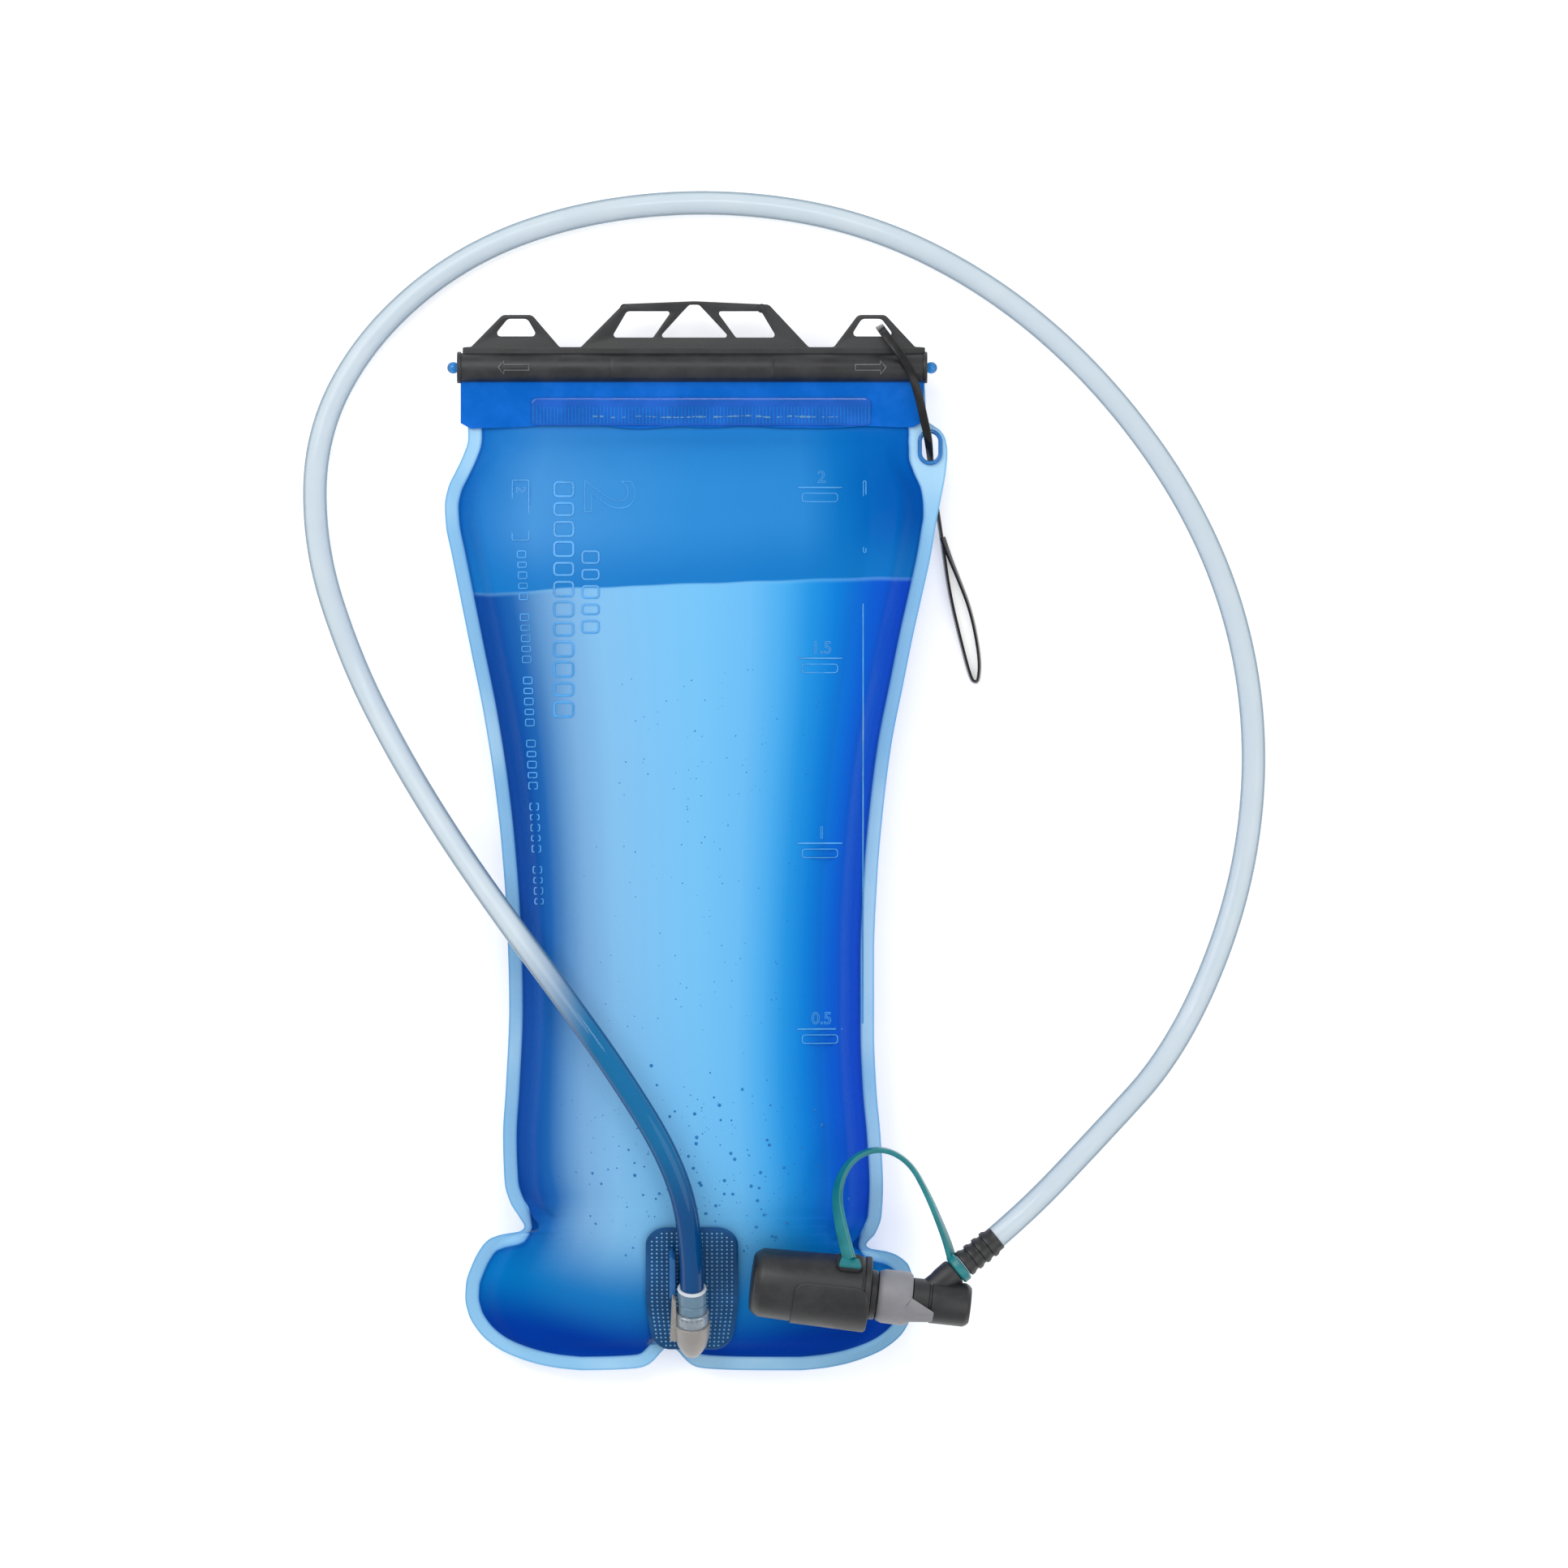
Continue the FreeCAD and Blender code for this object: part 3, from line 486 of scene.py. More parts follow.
def range_of(tree, source, low, high, to_low=0.0, to_high=1.0):
    """A smooth step between two values; returns its output."""
    node = tree.nodes.new("ShaderNodeMapRange")
    node.interpolation_type = "SMOOTHSTEP"
    for key, value in (("Value", source), ("From Min", low), ("From Max", high),
                       ("To Min", to_low), ("To Max", to_high)):
        feed(tree, node.inputs[key], value)
    return node.outputs["Result"]


def moulded_grain():
    """Fine moulded texture: a height and a roughness that vary over the surface."""
    tree, given, out = group_tree(
        "moulded grain",
        [("Scale", "value"), ("Smooth", "value"), ("Rough", "value")],
        [("Height", "value"), ("Roughness", "value"), ("Wear", "value")])
    if given is None:
        return tree
    place = tree.nodes.new("ShaderNodeTexCoord").outputs["Object"]
    fine = noise_at(tree, place, Scale=given.outputs["Scale"], Detail=3.0, Roughness=0.6)
    broad = noise_at(tree, place, Scale=70.0, Detail=4.0, Roughness=0.65)
    wear = range_of(tree, broad, 0.35, 0.72)
    spread = maths(tree, "SUBTRACT", given.outputs["Rough"], given.outputs["Smooth"])
    rough = maths(tree, "MULTIPLY_ADD", wear, spread, given.outputs["Smooth"])
    tree.links.new(fine, out.inputs["Height"])
    tree.links.new(rough, out.inputs["Roughness"])
    tree.links.new(wear, out.inputs["Wear"])
    return tree


def film_wash():
    """The film's blue across and down the bag, with painted light and painted shade, from its own map: u
    across, v down the bag.
    """
    tree, given, out = group_tree(
        "film wash",
        [("Light", "colour"), ("Deep", "colour"), ("Rim", "colour"), ("Line", "value"), ("Border", "value")],
        [("Colour", "colour"), ("Height", "value"), ("Roughness", "value")])
    if given is None:
        return tree
    coords = tree.nodes.new("ShaderNodeTexCoord")
    split = tree.nodes.new("ShaderNodeSeparateXYZ")
    tree.links.new(coords.outputs["UV"], split.inputs[0])
    where = coords.outputs["Object"]
    place = tree.nodes.new("ShaderNodeSeparateXYZ")
    tree.links.new(where, place.inputs[0])
    across, x, y = split.outputs["X"], place.outputs["X"], place.outputs["Y"]

    # the film over water and over air, across the bag: painted light through the middle, painted shade
    # towards the seams
    wander = maths(tree, "MULTIPLY_ADD", noise_at(tree, where, Scale=7.0, Detail=0.0), 0.07, -0.035)
    shifted = maths(tree, "ADD", across, wander)
    wet = colour_ramp(tree, shifted, [
        (0.00, (0.0005, 0.050, 0.31)),
        (0.05, (0.0008, 0.068, 0.35)),
        (0.09, (0.012, 0.115, 0.40)),
        (0.14, (0.100, 0.270, 0.55)),
        (0.19, (0.180, 0.385, 0.66)),
        (0.28, (0.215, 0.485, 0.78)),
        (0.40, (0.190, 0.500, 0.82)),
        (0.52, (0.168, 0.500, 0.84)),
        (0.64, (0.135, 0.465, 0.83)),
        (0.72, (0.062, 0.380, 0.79)),
        (0.78, (0.015, 0.275, 0.71)),
        (0.84, (0.0012, 0.195, 0.65)),
        (0.92, (0.0008, 0.092, 0.565)),
        (1.00, (0.0005, 0.048, 0.54)),
    ])
    lit = blend_colours(tree, 0.02, wet, given.outputs["Light"])
    dry = colour_ramp(tree, shifted, [
        (0.00, (0.002, 0.11, 0.44)),
        (0.06, (0.020, 0.19, 0.55)),
        (0.16, (0.058, 0.27, 0.63)),
        (0.32, (0.042, 0.255, 0.62)),
        (0.52, (0.027, 0.235, 0.605)),
        (0.76, (0.024, 0.228, 0.60)),
        (0.84, (0.004, 0.160, 0.51)),
        (0.90, (0.0008, 0.120, 0.45)),
        (1.00, (0.0003, 0.085, 0.40)),
    ])

    # the water line, a little tilted and wavy, darker in a band just above it, with a painted highlight along
    # it
    tilt = maths(tree, "MULTIPLY_ADD", x, -0.035, y)
    wave = maths(tree, "MULTIPLY_ADD", noise_at(tree, where, Scale=28.0, Detail=1.0), 0.004, -0.002)
    level = maths(tree, "SUBTRACT", maths(tree, "ADD", tilt, wave), given.outputs["Line"])
    above = range_of(tree, level, -0.0004, 0.0006)
    near = range_of(tree, level, 0.024, 0.0, 0.0, 0.8)
    shade = blend_colours(tree, near, dry, (0.006, 0.17, 0.52))
    body = blend_colours(tree, above, lit, shade)
    # painted highlight: a pale line along the water line
    glint = maths(tree, "MULTIPLY", range_of(tree, level, -0.0016, -0.0002),
                  range_of(tree, level, 0.0006, -0.0002))
    body = blend_colours(tree, maths(tree, "MULTIPLY", glint, 0.35), body, (0.16, 0.46, 0.80))

    # painted shade: darker towards the foot and the neck
    outwards = maths(tree, "ABSOLUTE", maths(tree, "SUBTRACT", across, 0.5))
    down = maths(tree, "SUBTRACT", y, range_of(tree, outwards, 0.12, 0.5, 0.0, 0.010))
    body = blend_colours(tree, range_of(tree, down, -0.140, -0.168, 0.0, 0.95), body, (0.0008, 0.175, 0.52))
    body = blend_colours(tree, range_of(tree, down, -0.164, -0.186), body, given.outputs["Deep"])
    neck = range_of(tree, y, 0.122, 0.150, 0.0, 0.45)
    body = blend_colours(tree, neck, body, (0.004, 0.16, 0.54))

    # the welded border, narrower beside the notches, darker along its outer lip, with painted sheen in pale
    # patches, painted shade in the groove along its inner side and in the crease where the film rises from it
    inset = maths(tree, "MULTIPLY", split.outputs["Y"], EDGE_MAP)
    notch = maths(tree, "MULTIPLY_ADD", maths(tree, "SIGN", x), -0.0034, -0.1434)
    beyond = maths(tree, "ABSOLUTE", maths(tree, "SUBTRACT", y, notch))
    narrow = range_of(tree, beyond, 0.0085, 0.0010, 1.0, 0.55)
    past = maths(tree, "SUBTRACT", inset, maths(tree, "MULTIPLY", given.outputs["Border"], narrow))
    # painted sheen: pale patches over the border
    pale = noise_at(tree, where, Scale=22.0, Detail=2.0)
    painted_sheen = maths(tree, "MULTIPLY", range_of(tree, pale, 0.42, 0.70), 0.5)
    rim = blend_colours(tree, painted_sheen, given.outputs["Rim"], (0.56, 0.80, 0.95))
    lip = range_of(tree, inset, 0.0009, 0.0002, 0.0, 0.6)
    rim = blend_colours(tree, lip, rim, (0.11, 0.36, 0.66))
    # painted shade in the groove along the border's inner side
    groove_shade = range_of(tree, past, -0.0011, -0.0001, 0.0, 0.45)
    rim = blend_colours(tree, groove_shade, rim, (0.05, 0.25, 0.62))
    body = blend_colours(tree, range_of(tree, past, -0.0003, 0.0003), rim, body)
    # painted shade in the crease where the film rises from the border
    crease_shade = maths(tree, "MULTIPLY", range_of(tree, past, 0.0, 0.0004),
                   range_of(tree, past, 0.0016, 0.0005, 0.0, 0.4))
    body = blend_colours(tree, crease_shade, body, (0.002, 0.05, 0.28))

    fine = noise_at(tree, where, Scale=1500.0, Detail=2.0)
    cloth = noise_at(tree, where, Scale=120.0, Detail=3.0)
    rough = maths(tree, "MULTIPLY_ADD", cloth, 0.16, 0.20)
    height = maths(tree, "MULTIPLY_ADD", cloth, 1.4, fine)
    tree.links.new(body, out.inputs["Colour"])
    tree.links.new(height, out.inputs["Height"])
    tree.links.new(rough, out.inputs["Roughness"])
    return tree


def film_material():
    mix = Mix("blue film")
    wash = mix.group(film_wash, Light=film().light, Deep=film().deep, Rim=film().rim,
                     Line=film().water_line, Border=film().border)
    mix.link(wash.outputs["Colour"], mix.shader.inputs["Base Color"])
    mix.link(wash.outputs["Roughness"], mix.shader.inputs["Roughness"])
    mix.bump(wash.outputs["Height"], 0.00004, 0.5)
    mix.set(IOR=1.46, Transmission_Weight=0.02, Specular_IOR_Level=0.012)
    return mix.material


def plain(name, colour, smooth, rough, scale, depth, speckle, **values):
    """A moulded or rubbery finish: grain, uneven gloss and a slightly uneven colour."""
    mix = Mix(name)
    grain = mix.group(moulded_grain, Scale=scale, Smooth=smooth, Rough=rough)
    wear_and_sheen = [min(1.0, c * (1 + speckle) + 0.006) for c in colour]
    shade = blend_colours(mix.tree, grain.outputs["Wear"], colour, wear_and_sheen)
    mix.link(shade, mix.shader.inputs["Base Color"])
    mix.link(grain.outputs["Roughness"], mix.shader.inputs["Roughness"])
    mix.bump(grain.outputs["Height"], depth, 0.6)
    mix.set(**values)
    return mix.material


def tube_wash():
    """The tube's tint: clear round the bag, and bluer where the full bag lies behind it."""
    tree, given, out = group_tree(
        "tube wash", [("Clear", "colour"), ("Wet", "colour")],
        [("Colour", "colour"), ("Edge", "colour"), ("Roughness", "value"), ("Height", "value")])
    if given is None:
        return tree
    coords = tree.nodes.new("ShaderNodeTexCoord")
    place = tree.nodes.new("ShaderNodeSeparateXYZ")
    tree.links.new(coords.outputs["Object"], place.inputs[0])
    x, y = place.outputs["X"], place.outputs["Y"]
    beside = range_of(tree, x, -0.066, -0.034)
    below = range_of(tree, y, 0.010, -0.030)
    inside = range_of(tree, x, 0.060, 0.030)
    over = maths(tree, "MULTIPLY", maths(tree, "MULTIPLY", beside, below), inside)
    low = range_of(tree, y, -0.104, -0.140)
    deeper = blend_colours(tree, low, given.outputs["Wet"], (0.001, 0.088, 0.30))
    shade = blend_colours(tree, over, given.outputs["Clear"], deeper)
    # painted reflection: the dark blue-grey of the tube's sides, deeper blue over the bag
    edge = blend_colours(tree, over, (0.13, 0.24, 0.33), (0.0012, 0.055, 0.21))
    tree.links.new(edge, out.inputs["Edge"])
    haze = noise_at(tree, coords.outputs["Object"], Scale=60.0, Detail=2.0)
    cloudy = range_of(tree, haze, 0.4, 0.75, 0.0, 0.25)
    cloudy = maths(tree, "MULTIPLY", cloudy, maths(tree, "SUBTRACT", 1.0, over))
    shade = blend_colours(tree, cloudy, shade, (0.86, 0.93, 0.98))
    tree.links.new(shade, out.inputs["Colour"])
    tree.links.new(maths(tree, "MULTIPLY_ADD", haze, 0.08, 0.02), out.inputs["Roughness"])
    tree.links.new(haze, out.inputs["Height"])
    return tree


def tube_material():
    mix = Mix("clear tube")
    wash = mix.group(tube_wash, Clear=tube().tint, Wet=tube().wet)
    # painted reflection: the base colour turns to that dark side colour towards the tube's outline
    facing = mix.tree.nodes.new("ShaderNodeLayerWeight")
    facing.inputs["Blend"].default_value = 0.5
    rim = range_of(mix.tree, facing.outputs["Facing"], 0.22, 0.66, 0.0, 0.9)
    shade = blend_colours(mix.tree, rim, wash.outputs["Colour"], wash.outputs["Edge"])
    mix.link(shade, mix.shader.inputs["Base Color"])
    mix.link(wash.outputs["Roughness"], mix.shader.inputs["Roughness"])
    mix.bump(wash.outputs["Height"], 0.00006, 0.4)
    mix.set(IOR=1.25, Transmission_Weight=0.28, Coat_Weight=0.2, Coat_Roughness=0.06)
    return mix.material


_made = {}


def finish_of(name):
    """Each finish is made once: the film, the tube, or a plain one from the table."""
    black, grey, teal = hardware().black, hardware().grey, hardware().teal
    table = {
        # finish: name, colour, smooth, rough, grain's scale and depth, speckle, the shader's other values
        "flap": ("folded flap", (0.0004, 0.118, 0.53), 0.10, 0.22, 260, 0.00006, 0.2,
                 dict(Transmission_Weight=0.05, IOR=1.46, Specular_IOR_Level=0.08)),
        "strip": ("grip strip", (0.001, 0.092, 0.47), 0.08, 0.2, 260, 0.00004, 0.3,
                  dict(Transmission_Weight=0.1, IOR=1.46, Specular_IOR_Level=0.35)),
        # painted highlight: the embossed marks are a lighter blue than the film they are raised from
        "mark": ("embossed marks", (0.062, 0.315, 0.69), 0.12, 0.25, 400, 0.00002, 0.3,
                 dict(Transmission_Weight=0.1, IOR=1.46, Specular_IOR_Level=0.3)),
        # painted highlight: the ribs are a lighter blue than the strip they are moulded on
        "rib": ("grip ribs", (0.002, 0.15, 0.54), 0.08, 0.2, 400, 0.00002, 0.3,
                dict(Transmission_Weight=0.1, IOR=1.46, Specular_IOR_Level=0.25)),
        "bead": ("water beads", (0.16, 0.46, 0.82), 0.02, 0.06, 300, 0.00001, 0.1,
                 dict(Transmission_Weight=0.5, IOR=1.33)),
        "clear blue": ("clear blue plastic", (0.03, 0.26, 0.66), 0.06, 0.14, 400, 0.00001, 0.3,
                       dict(Transmission_Weight=0.55, IOR=1.46)),
        "water": ("water", (0.35, 0.68, 0.92), 0.0, 0.03, 60, 0.00001, 0.1,
                  dict(Transmission_Weight=0.95, IOR=1.33)),
        "port": ("port plate", (0.002, 0.062, 0.20), 0.22, 0.38, 700, 0.00003, 0.35,
                 dict(Transmission_Weight=0.1, IOR=1.46, Specular_IOR_Level=0.25)),
        "dots": ("port dots", (0.13, 0.39, 0.58), 0.15, 0.3, 700, 0.00002, 0.3,
                 dict(Specular_IOR_Level=0.6)),
        "clear": ("clear plastic", (0.70, 0.80, 0.88), 0.03, 0.12, 300, 0.00001, 0.1,
                  dict(Transmission_Weight=0.7, IOR=1.46)),
        "pale": ("pale grey plastic", (0.29, 0.275, 0.262), 0.25, 0.4, 900, 0.00002, 0.12, dict()),
        # painted highlight: the white ring at the plug collar's end
        "painted_highlight": ("painted highlight lip", (0.62, 0.68, 0.74), 0.2, 0.35, 900, 0.00002, 0.1, dict()),
        "collar": ("clear collar", (0.23, 0.38, 0.52), 0.06, 0.16, 400, 0.00001, 0.2,
                   dict(Transmission_Weight=0.45, IOR=1.4)),
        "core": ("clear plug", (0.006, 0.085, 0.24), 0.1, 0.2, 400, 0.00001, 0.3,
                 dict(Transmission_Weight=0.3, IOR=1.4)),
        "black": ("black moulded plastic", black, 0.36, 0.56, 1400, 0.00009, 0.7, dict()),
        # painted highlight: the slider's arrows are a lighter black than the slider they are moulded on
        "wear_and_sheen": ("arrows painted lighter", (0.075, 0.077, 0.08), 0.2, 0.36, 900, 0.00002, 0.5, dict()),
        "strap": ("black strap", (0.006, 0.006, 0.007), 0.16, 0.32, 500, 0.00002, 0.6,
                  dict(Specular_IOR_Level=0.35)),
        "grey": ("grey moulded plastic", grey, 0.38, 0.55, 1400, 0.00006, 0.12, dict()),
        "teal": ("teal rubber", teal, 0.3, 0.46, 900, 0.00004, 0.35, dict()),
        "rubber": ("seal rubber", (0.012, 0.012, 0.013), 0.5, 0.7, 600, 0.00004, 0.4, dict()),
        "steel": ("spring steel", (0.55, 0.55, 0.56), 0.2, 0.35, 900, 0.00001, 0.1, dict(Metallic=1.0)),
        "silicone": ("bite silicone", (0.62, 0.72, 0.78), 0.3, 0.45, 500, 0.00003, 0.1,
                     dict(Transmission_Weight=0.3, IOR=1.41)),
        "bubble": ("bubble", (0.035, 0.26, 0.60), 0.03, 0.08, 300, 0.00001, 0.2,
                   dict(Transmission_Weight=0.4, IOR=1.2)),
        "floor": ("floor", stage().floor, 0.75, 0.9, 40, 0.00001, 0.02,
                  dict(Emission_Color=(1, 1, 1), Emission_Strength=0.34)),
    }
    if name not in _made:
        if name in table:
            *given, values = table[name]
            _made[name] = plain(*given, **values)
        else:
            _made[name] = {"film": film_material, "tube": tube_material}[name]()
    return _made[name]


# ------------------------------------------------------------------------------------ the bag's shape
LEFT_EDGE = line_through([
    (163.85, -82.6), (154, -82.4), (148, -80.2), (142, -80.0), (136, -81.8), (130.5, -84.4),
    (124.5, -87.2), (118, -88.4), (111, -88.0), (101, -86.0), (84, -82.6), (66, -79.0), (43, -74.4),
    (20, -70.8), (-3, -68.2), (-31, -66.2), (-61, -65.4), (-90, -66.6), (-107, -67.6), (-124, -67.0),
    (-131, -65.0), (-136.5, -61.6), (-139.6, -60.0), (-141.2, -61.4), (-142.4, -68.0), (-144, -72.4),
    (-148, -76.0), (-154, -79.0), (-160, -80.9), (-165, -81.2), (-171, -80.0), (-177, -76.6),
    (-183, -70.0), (-188, -58.6), (-190.4, -48.0), (-191.2, -40.0)])
RIGHT_EDGE = line_through([
    (163.85, 83.0), (154, 83.4), (147.6, 83.8), (146.6, 86.4), (145, 88.6), (142, 90.5), (137, 91.2),
    (130, 90.6), (120, 88.8), (112, 87.2), (101, 85.4), (84, 81.7), (72, 79.0), (55, 75.6), (32, 71.1),
    (9, 68.2), (-14, 66.2), (-43, 65.0), (-70, 65.0), (-90, 65.8), (-107, 67.3), (-125, 68.2),
    (-136, 67.6), (-142, 65.4), (-146.2, 62.2), (-147.6, 64.0), (-148.4, 69.0), (-150, 73.4),
    (-154, 77.6), (-160, 79.0), (-166, 79.0), (-171, 78.4), (-177, 75.8), (-183, 69.4), (-188, 58.0),
    (-190.4, 47.0), (-191.2, 39.0)])
TAB_INSET = line_through([
    (163.85, 0.0), (149, 1.6), (145, 6.4), (141, 8.6), (136, 8.9), (130, 6.6), (124, 3.0), (118, 1.0),
    (112, 0.0), (-191.2, 0.0)])
EDGE_MAP = 0.05    # metres from the outer edge that the film's map covers
FRONT_SHAPE = (2.2, 0.72)
BACK_SHAPE = (5.0, 0.8)
FOOT_NOTCH = -8.0    # where across the foot it is notched
SEAM_ROUND = 7       # millimetres over which the film rises from its seam
LEAST_RISE = 0.55    # how full the film is at least, away from its seam
RISE_ROOM = 9        # millimetres over which it gets there
WELD_HEIGHT = line_through([
    (163.85, 20.6), (130, 20.6), (122, 20.48), (113, 20.36), (101, 20.24), (84, 20.12), (55, 20.0),
    (-140, 20.0), (-145, 19.5), (-150, 18.5), (-156, 17.0), (-165, 14.5), (-173, 12.5), (-180, 11.5),
    (-185, 11.1), (-188.5, 11.0), (-191.2, 11.0)])
FRONT_CROWN = line_through([
    (163.85, 21.2), (146, 21.25), (138, 27.0), (130, 31.4), (122, 34.9), (113, 38.9), (101, 42.7),
    (84, 46.2), (55, 49.1), (20, 50.5), (-64, 50.5), (-100, 50.3), (-114, 49.6), (-124, 48.2),
    (-131, 46.4), (-136, 44.6), (-141, 42.1), (-150, 37.0), (-165, 27.4), (-173, 22.3), (-180, 17.7),
    (-185, 12.6), (-188.5, 11.7), (-191.2, 11.6)])
BACK_CROWN = line_through([
    (163.85, 20.0), (146, 20.0), (138, 13.9), (130, 8.9), (122, 4.7), (118, 2.8), (112, 0.0),
    (-166, 0.0), (-173, 2.3), (-180, 6.2), (-185, 9.9), (-188.5, 10.4), (-191.2, 10.4)])


def dents(x, y):
    """How far the filled film is drawn in by its buckles, notches and the folded neck."""
    depth = 0.0
    creases = [
        # start x, start y, end x, end y, width, depth
        (-60, -140, -44, -135, 3.4, 2.4),
        (-60, -140, -53, -147, 2.4, 2.0),
        (62, -146, 46, -140, 3.4, 2.2),
        (62, -146, 55, -153, 2.4, 1.8),
        (FOOT_NOTCH, -184, FOOT_NOTCH - 1, -168, 3.4, 1.6),
        (-74, 136, -46, 108, 6.0, 1.5),
        (72, 136, 50, 112, 6.0, 1.4),
        (-30, 142, -26, 122, 5.0, 0.7),
        (24, 142, 22, 124, 5.0, 0.6),
    ]
    for x0, y0, x1, y1, wide, deep in creases:
        run = Vector((x1 - x0, y1 - y0))
        here = Vector((x - x0, y - y0))
        along = here.dot(run) / run.length_squared
        nearest = min(max(along, 0.0), 1.0)
        off = (here - run * nearest).length
        depth += deep * math.exp(-(off / wide) ** 2) * (1 - 0.75 * nearest)
    waves = noise.noise(Vector((x / 34, y / 60, 3.1)))
    ripples = noise.noise(Vector((x / 14, y / 22, 7.7)))
    return depth - 0.4 * waves - 0.05 * ripples


class Film:
    """One film of the bag: where its surface is, across and along."""

    def __init__(self, front):
        low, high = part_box("front_film")
        self.front = front
        self.weld = WELD_HEIGHT
        self.crown = FRONT_CROWN if front else BACK_CROWN
        self.top, self.bottom = high.y / MM, low.y / MM
        self.lines = {}
        self.power, self.ease = FRONT_SHAPE if front else BACK_SHAPE

    def seams(self, y):
        border = film().border / MM
        return LEFT_EDGE(y) + border, RIGHT_EDGE(y) - border - TAB_INSET(y)

    def across(self, y):
        """The seams, the seams eased over the notches, the weld's height and the crown's at y."""
        key = round(y, 3)
        if key not in self.lines:
            eased = [self.seams(y + 3 * step) for step in range(-4, 5)]
            left = sum(pair[0] for pair in eased) / len(eased)
            right = sum(pair[1] for pair in eased) / len(eased)
            self.lines[key] = (*self.seams(y), left, right, self.weld(y), self.crown(y))
        return self.lines[key]

    def rise(self, share):
        return max(0.0, 1 - abs(share) ** self.power) ** self.ease

    def height(self, x, y):
        """Height of the outer surface, in millimetres."""
        left, right, eased_left, eased_right, weld, crown = self.across(y)
        side = 1 if self.front else -1
        thick = film().thickness / MM
        flat = weld + side * thick
        room = min(x - left, right - x)
        if room <= 0:
            return flat
        share = (2 * x - eased_left - eased_right) / (eased_right - eased_left)
        bulge = max(0.0, side * (crown - flat))
        full = max(self.rise(share), LEAST_RISE * fade(room, 0, RISE_ROOM))
        full = min(full, math.sqrt(min(room / SEAM_ROUND, 1.0)))
        drawn = dents(x, y) * min(1.0, bulge / 6) * min(1.0, full * 2.2) if self.front else 0.0
        return flat + side * (bulge * full - drawn)

    def warp(self, x, y):
        """Draws the foot's edge up into its notch."""
        low = fade(y, -168, self.bottom)
        lift = sum(deep * math.exp(-((x - FOOT_NOTCH) / wide) ** 2) for deep, wide in ((7.4, 5.6), (1.2, 16)))
        return y + low * lift


def build_film(name, front):
    """A film with its welded border, from a grid across the seams and down the bag."""
    surface = Film(front)
    fine_rows, fine_step, coarse_rows = 150, 0.4, 190
    rows = [surface.bottom + fine_step * i for i in range(fine_rows)]
    start = rows[-1]
    rows += [start + (surface.top - start) * i / coarse_rows for i in range(1, coarse_rows + 1)]
    columns = film().columns
    edge = 5    # faces across the border
    shares = [-1 + 2 * i / columns for i in range(columns + 1)]
    shares = [math.sin(math.pi / 2 * s) * 0.55 + s * 0.45 for s in shares]    # closer beside the seams
    points, marks = [], []
    for y in rows:
        left, right = surface.seams(y)
        outer_left, outer_right = LEFT_EDGE(y), RIGHT_EDGE(y)
        line = [outer_left + (left - outer_left) * i / edge for i in range(edge)]
        line += [(left + right) / 2 + s * (right - left) / 2 for s in shares]
        line += [right + (outer_right - right) * i / edge for i in range(1, edge + 1)]
        for x in line:
            points.append((x * MM, surface.warp(x, y) * MM, surface.height(x, y) * MM))
            eased_left, eased_right = surface.across(y)[2:4]
            marks.append(min(max((x - eased_left) / (eased_right - eased_left), 0.0), 1.0))
    wide = columns + 1 + 2 * edge
    faces = []
    for row in range(len(rows) - 1):
        for column in range(wide - 1):
            a = row * wide + column
            face = (a, a + 1, a + wide + 1, a + wide)
            faces.append(face if front else face[::-1])
    obj = faced(name, points, faces)
    mesh = obj.data
    inset = edge_distance(points, wide, len(rows))
    for i, (x, y, _) in enumerate(points):
        tab = TAB_INSET(y / MM) if x > 0 else 0.0
        if tab > 0:
            inset[i] = max(min(inset[i], 2.5 * MM), (RIGHT_EDGE(y / MM) - tab) * MM - x)
    layer = mesh.uv_layers.new(name="bag")
    for loop in mesh.loops:
        i = loop.vertex_index
        layer.data[loop.index].uv = (marks[i], min(inset[i] / EDGE_MAP, 1.0))
    return obj


def edge_distance(points, wide, tall):
    """How far each point of a film's grid lies in from its sides and foot, seen from above."""
    flat = np.array(points)[:, :2]
    grid = flat.reshape(tall, wide, 2)
    outline = np.concatenate([grid[::-1, 0], grid[0, :], grid[:, -1]])
    start, run = outline[:-1], np.diff(outline, axis=0)
    square = np.maximum((run ** 2).sum(axis=1), 1e-12)
    nearest = np.empty(len(flat))
    for i, point in enumerate(flat):
        off = point - start
        share = np.clip((off * run).sum(axis=1) / square, 0, 1)
        nearest[i] = np.sqrt(((off - run * share[:, None]) ** 2).sum(axis=1).min())
    return nearest


# ------------------------------------------------------------------------------------ operators
class Builder:
    """What every operator of the bladder shares."""
    bl_options = {"REGISTER", "UNDO"}

    def execute(self, context):
        self.build(context)
        return {"FINISHED"}


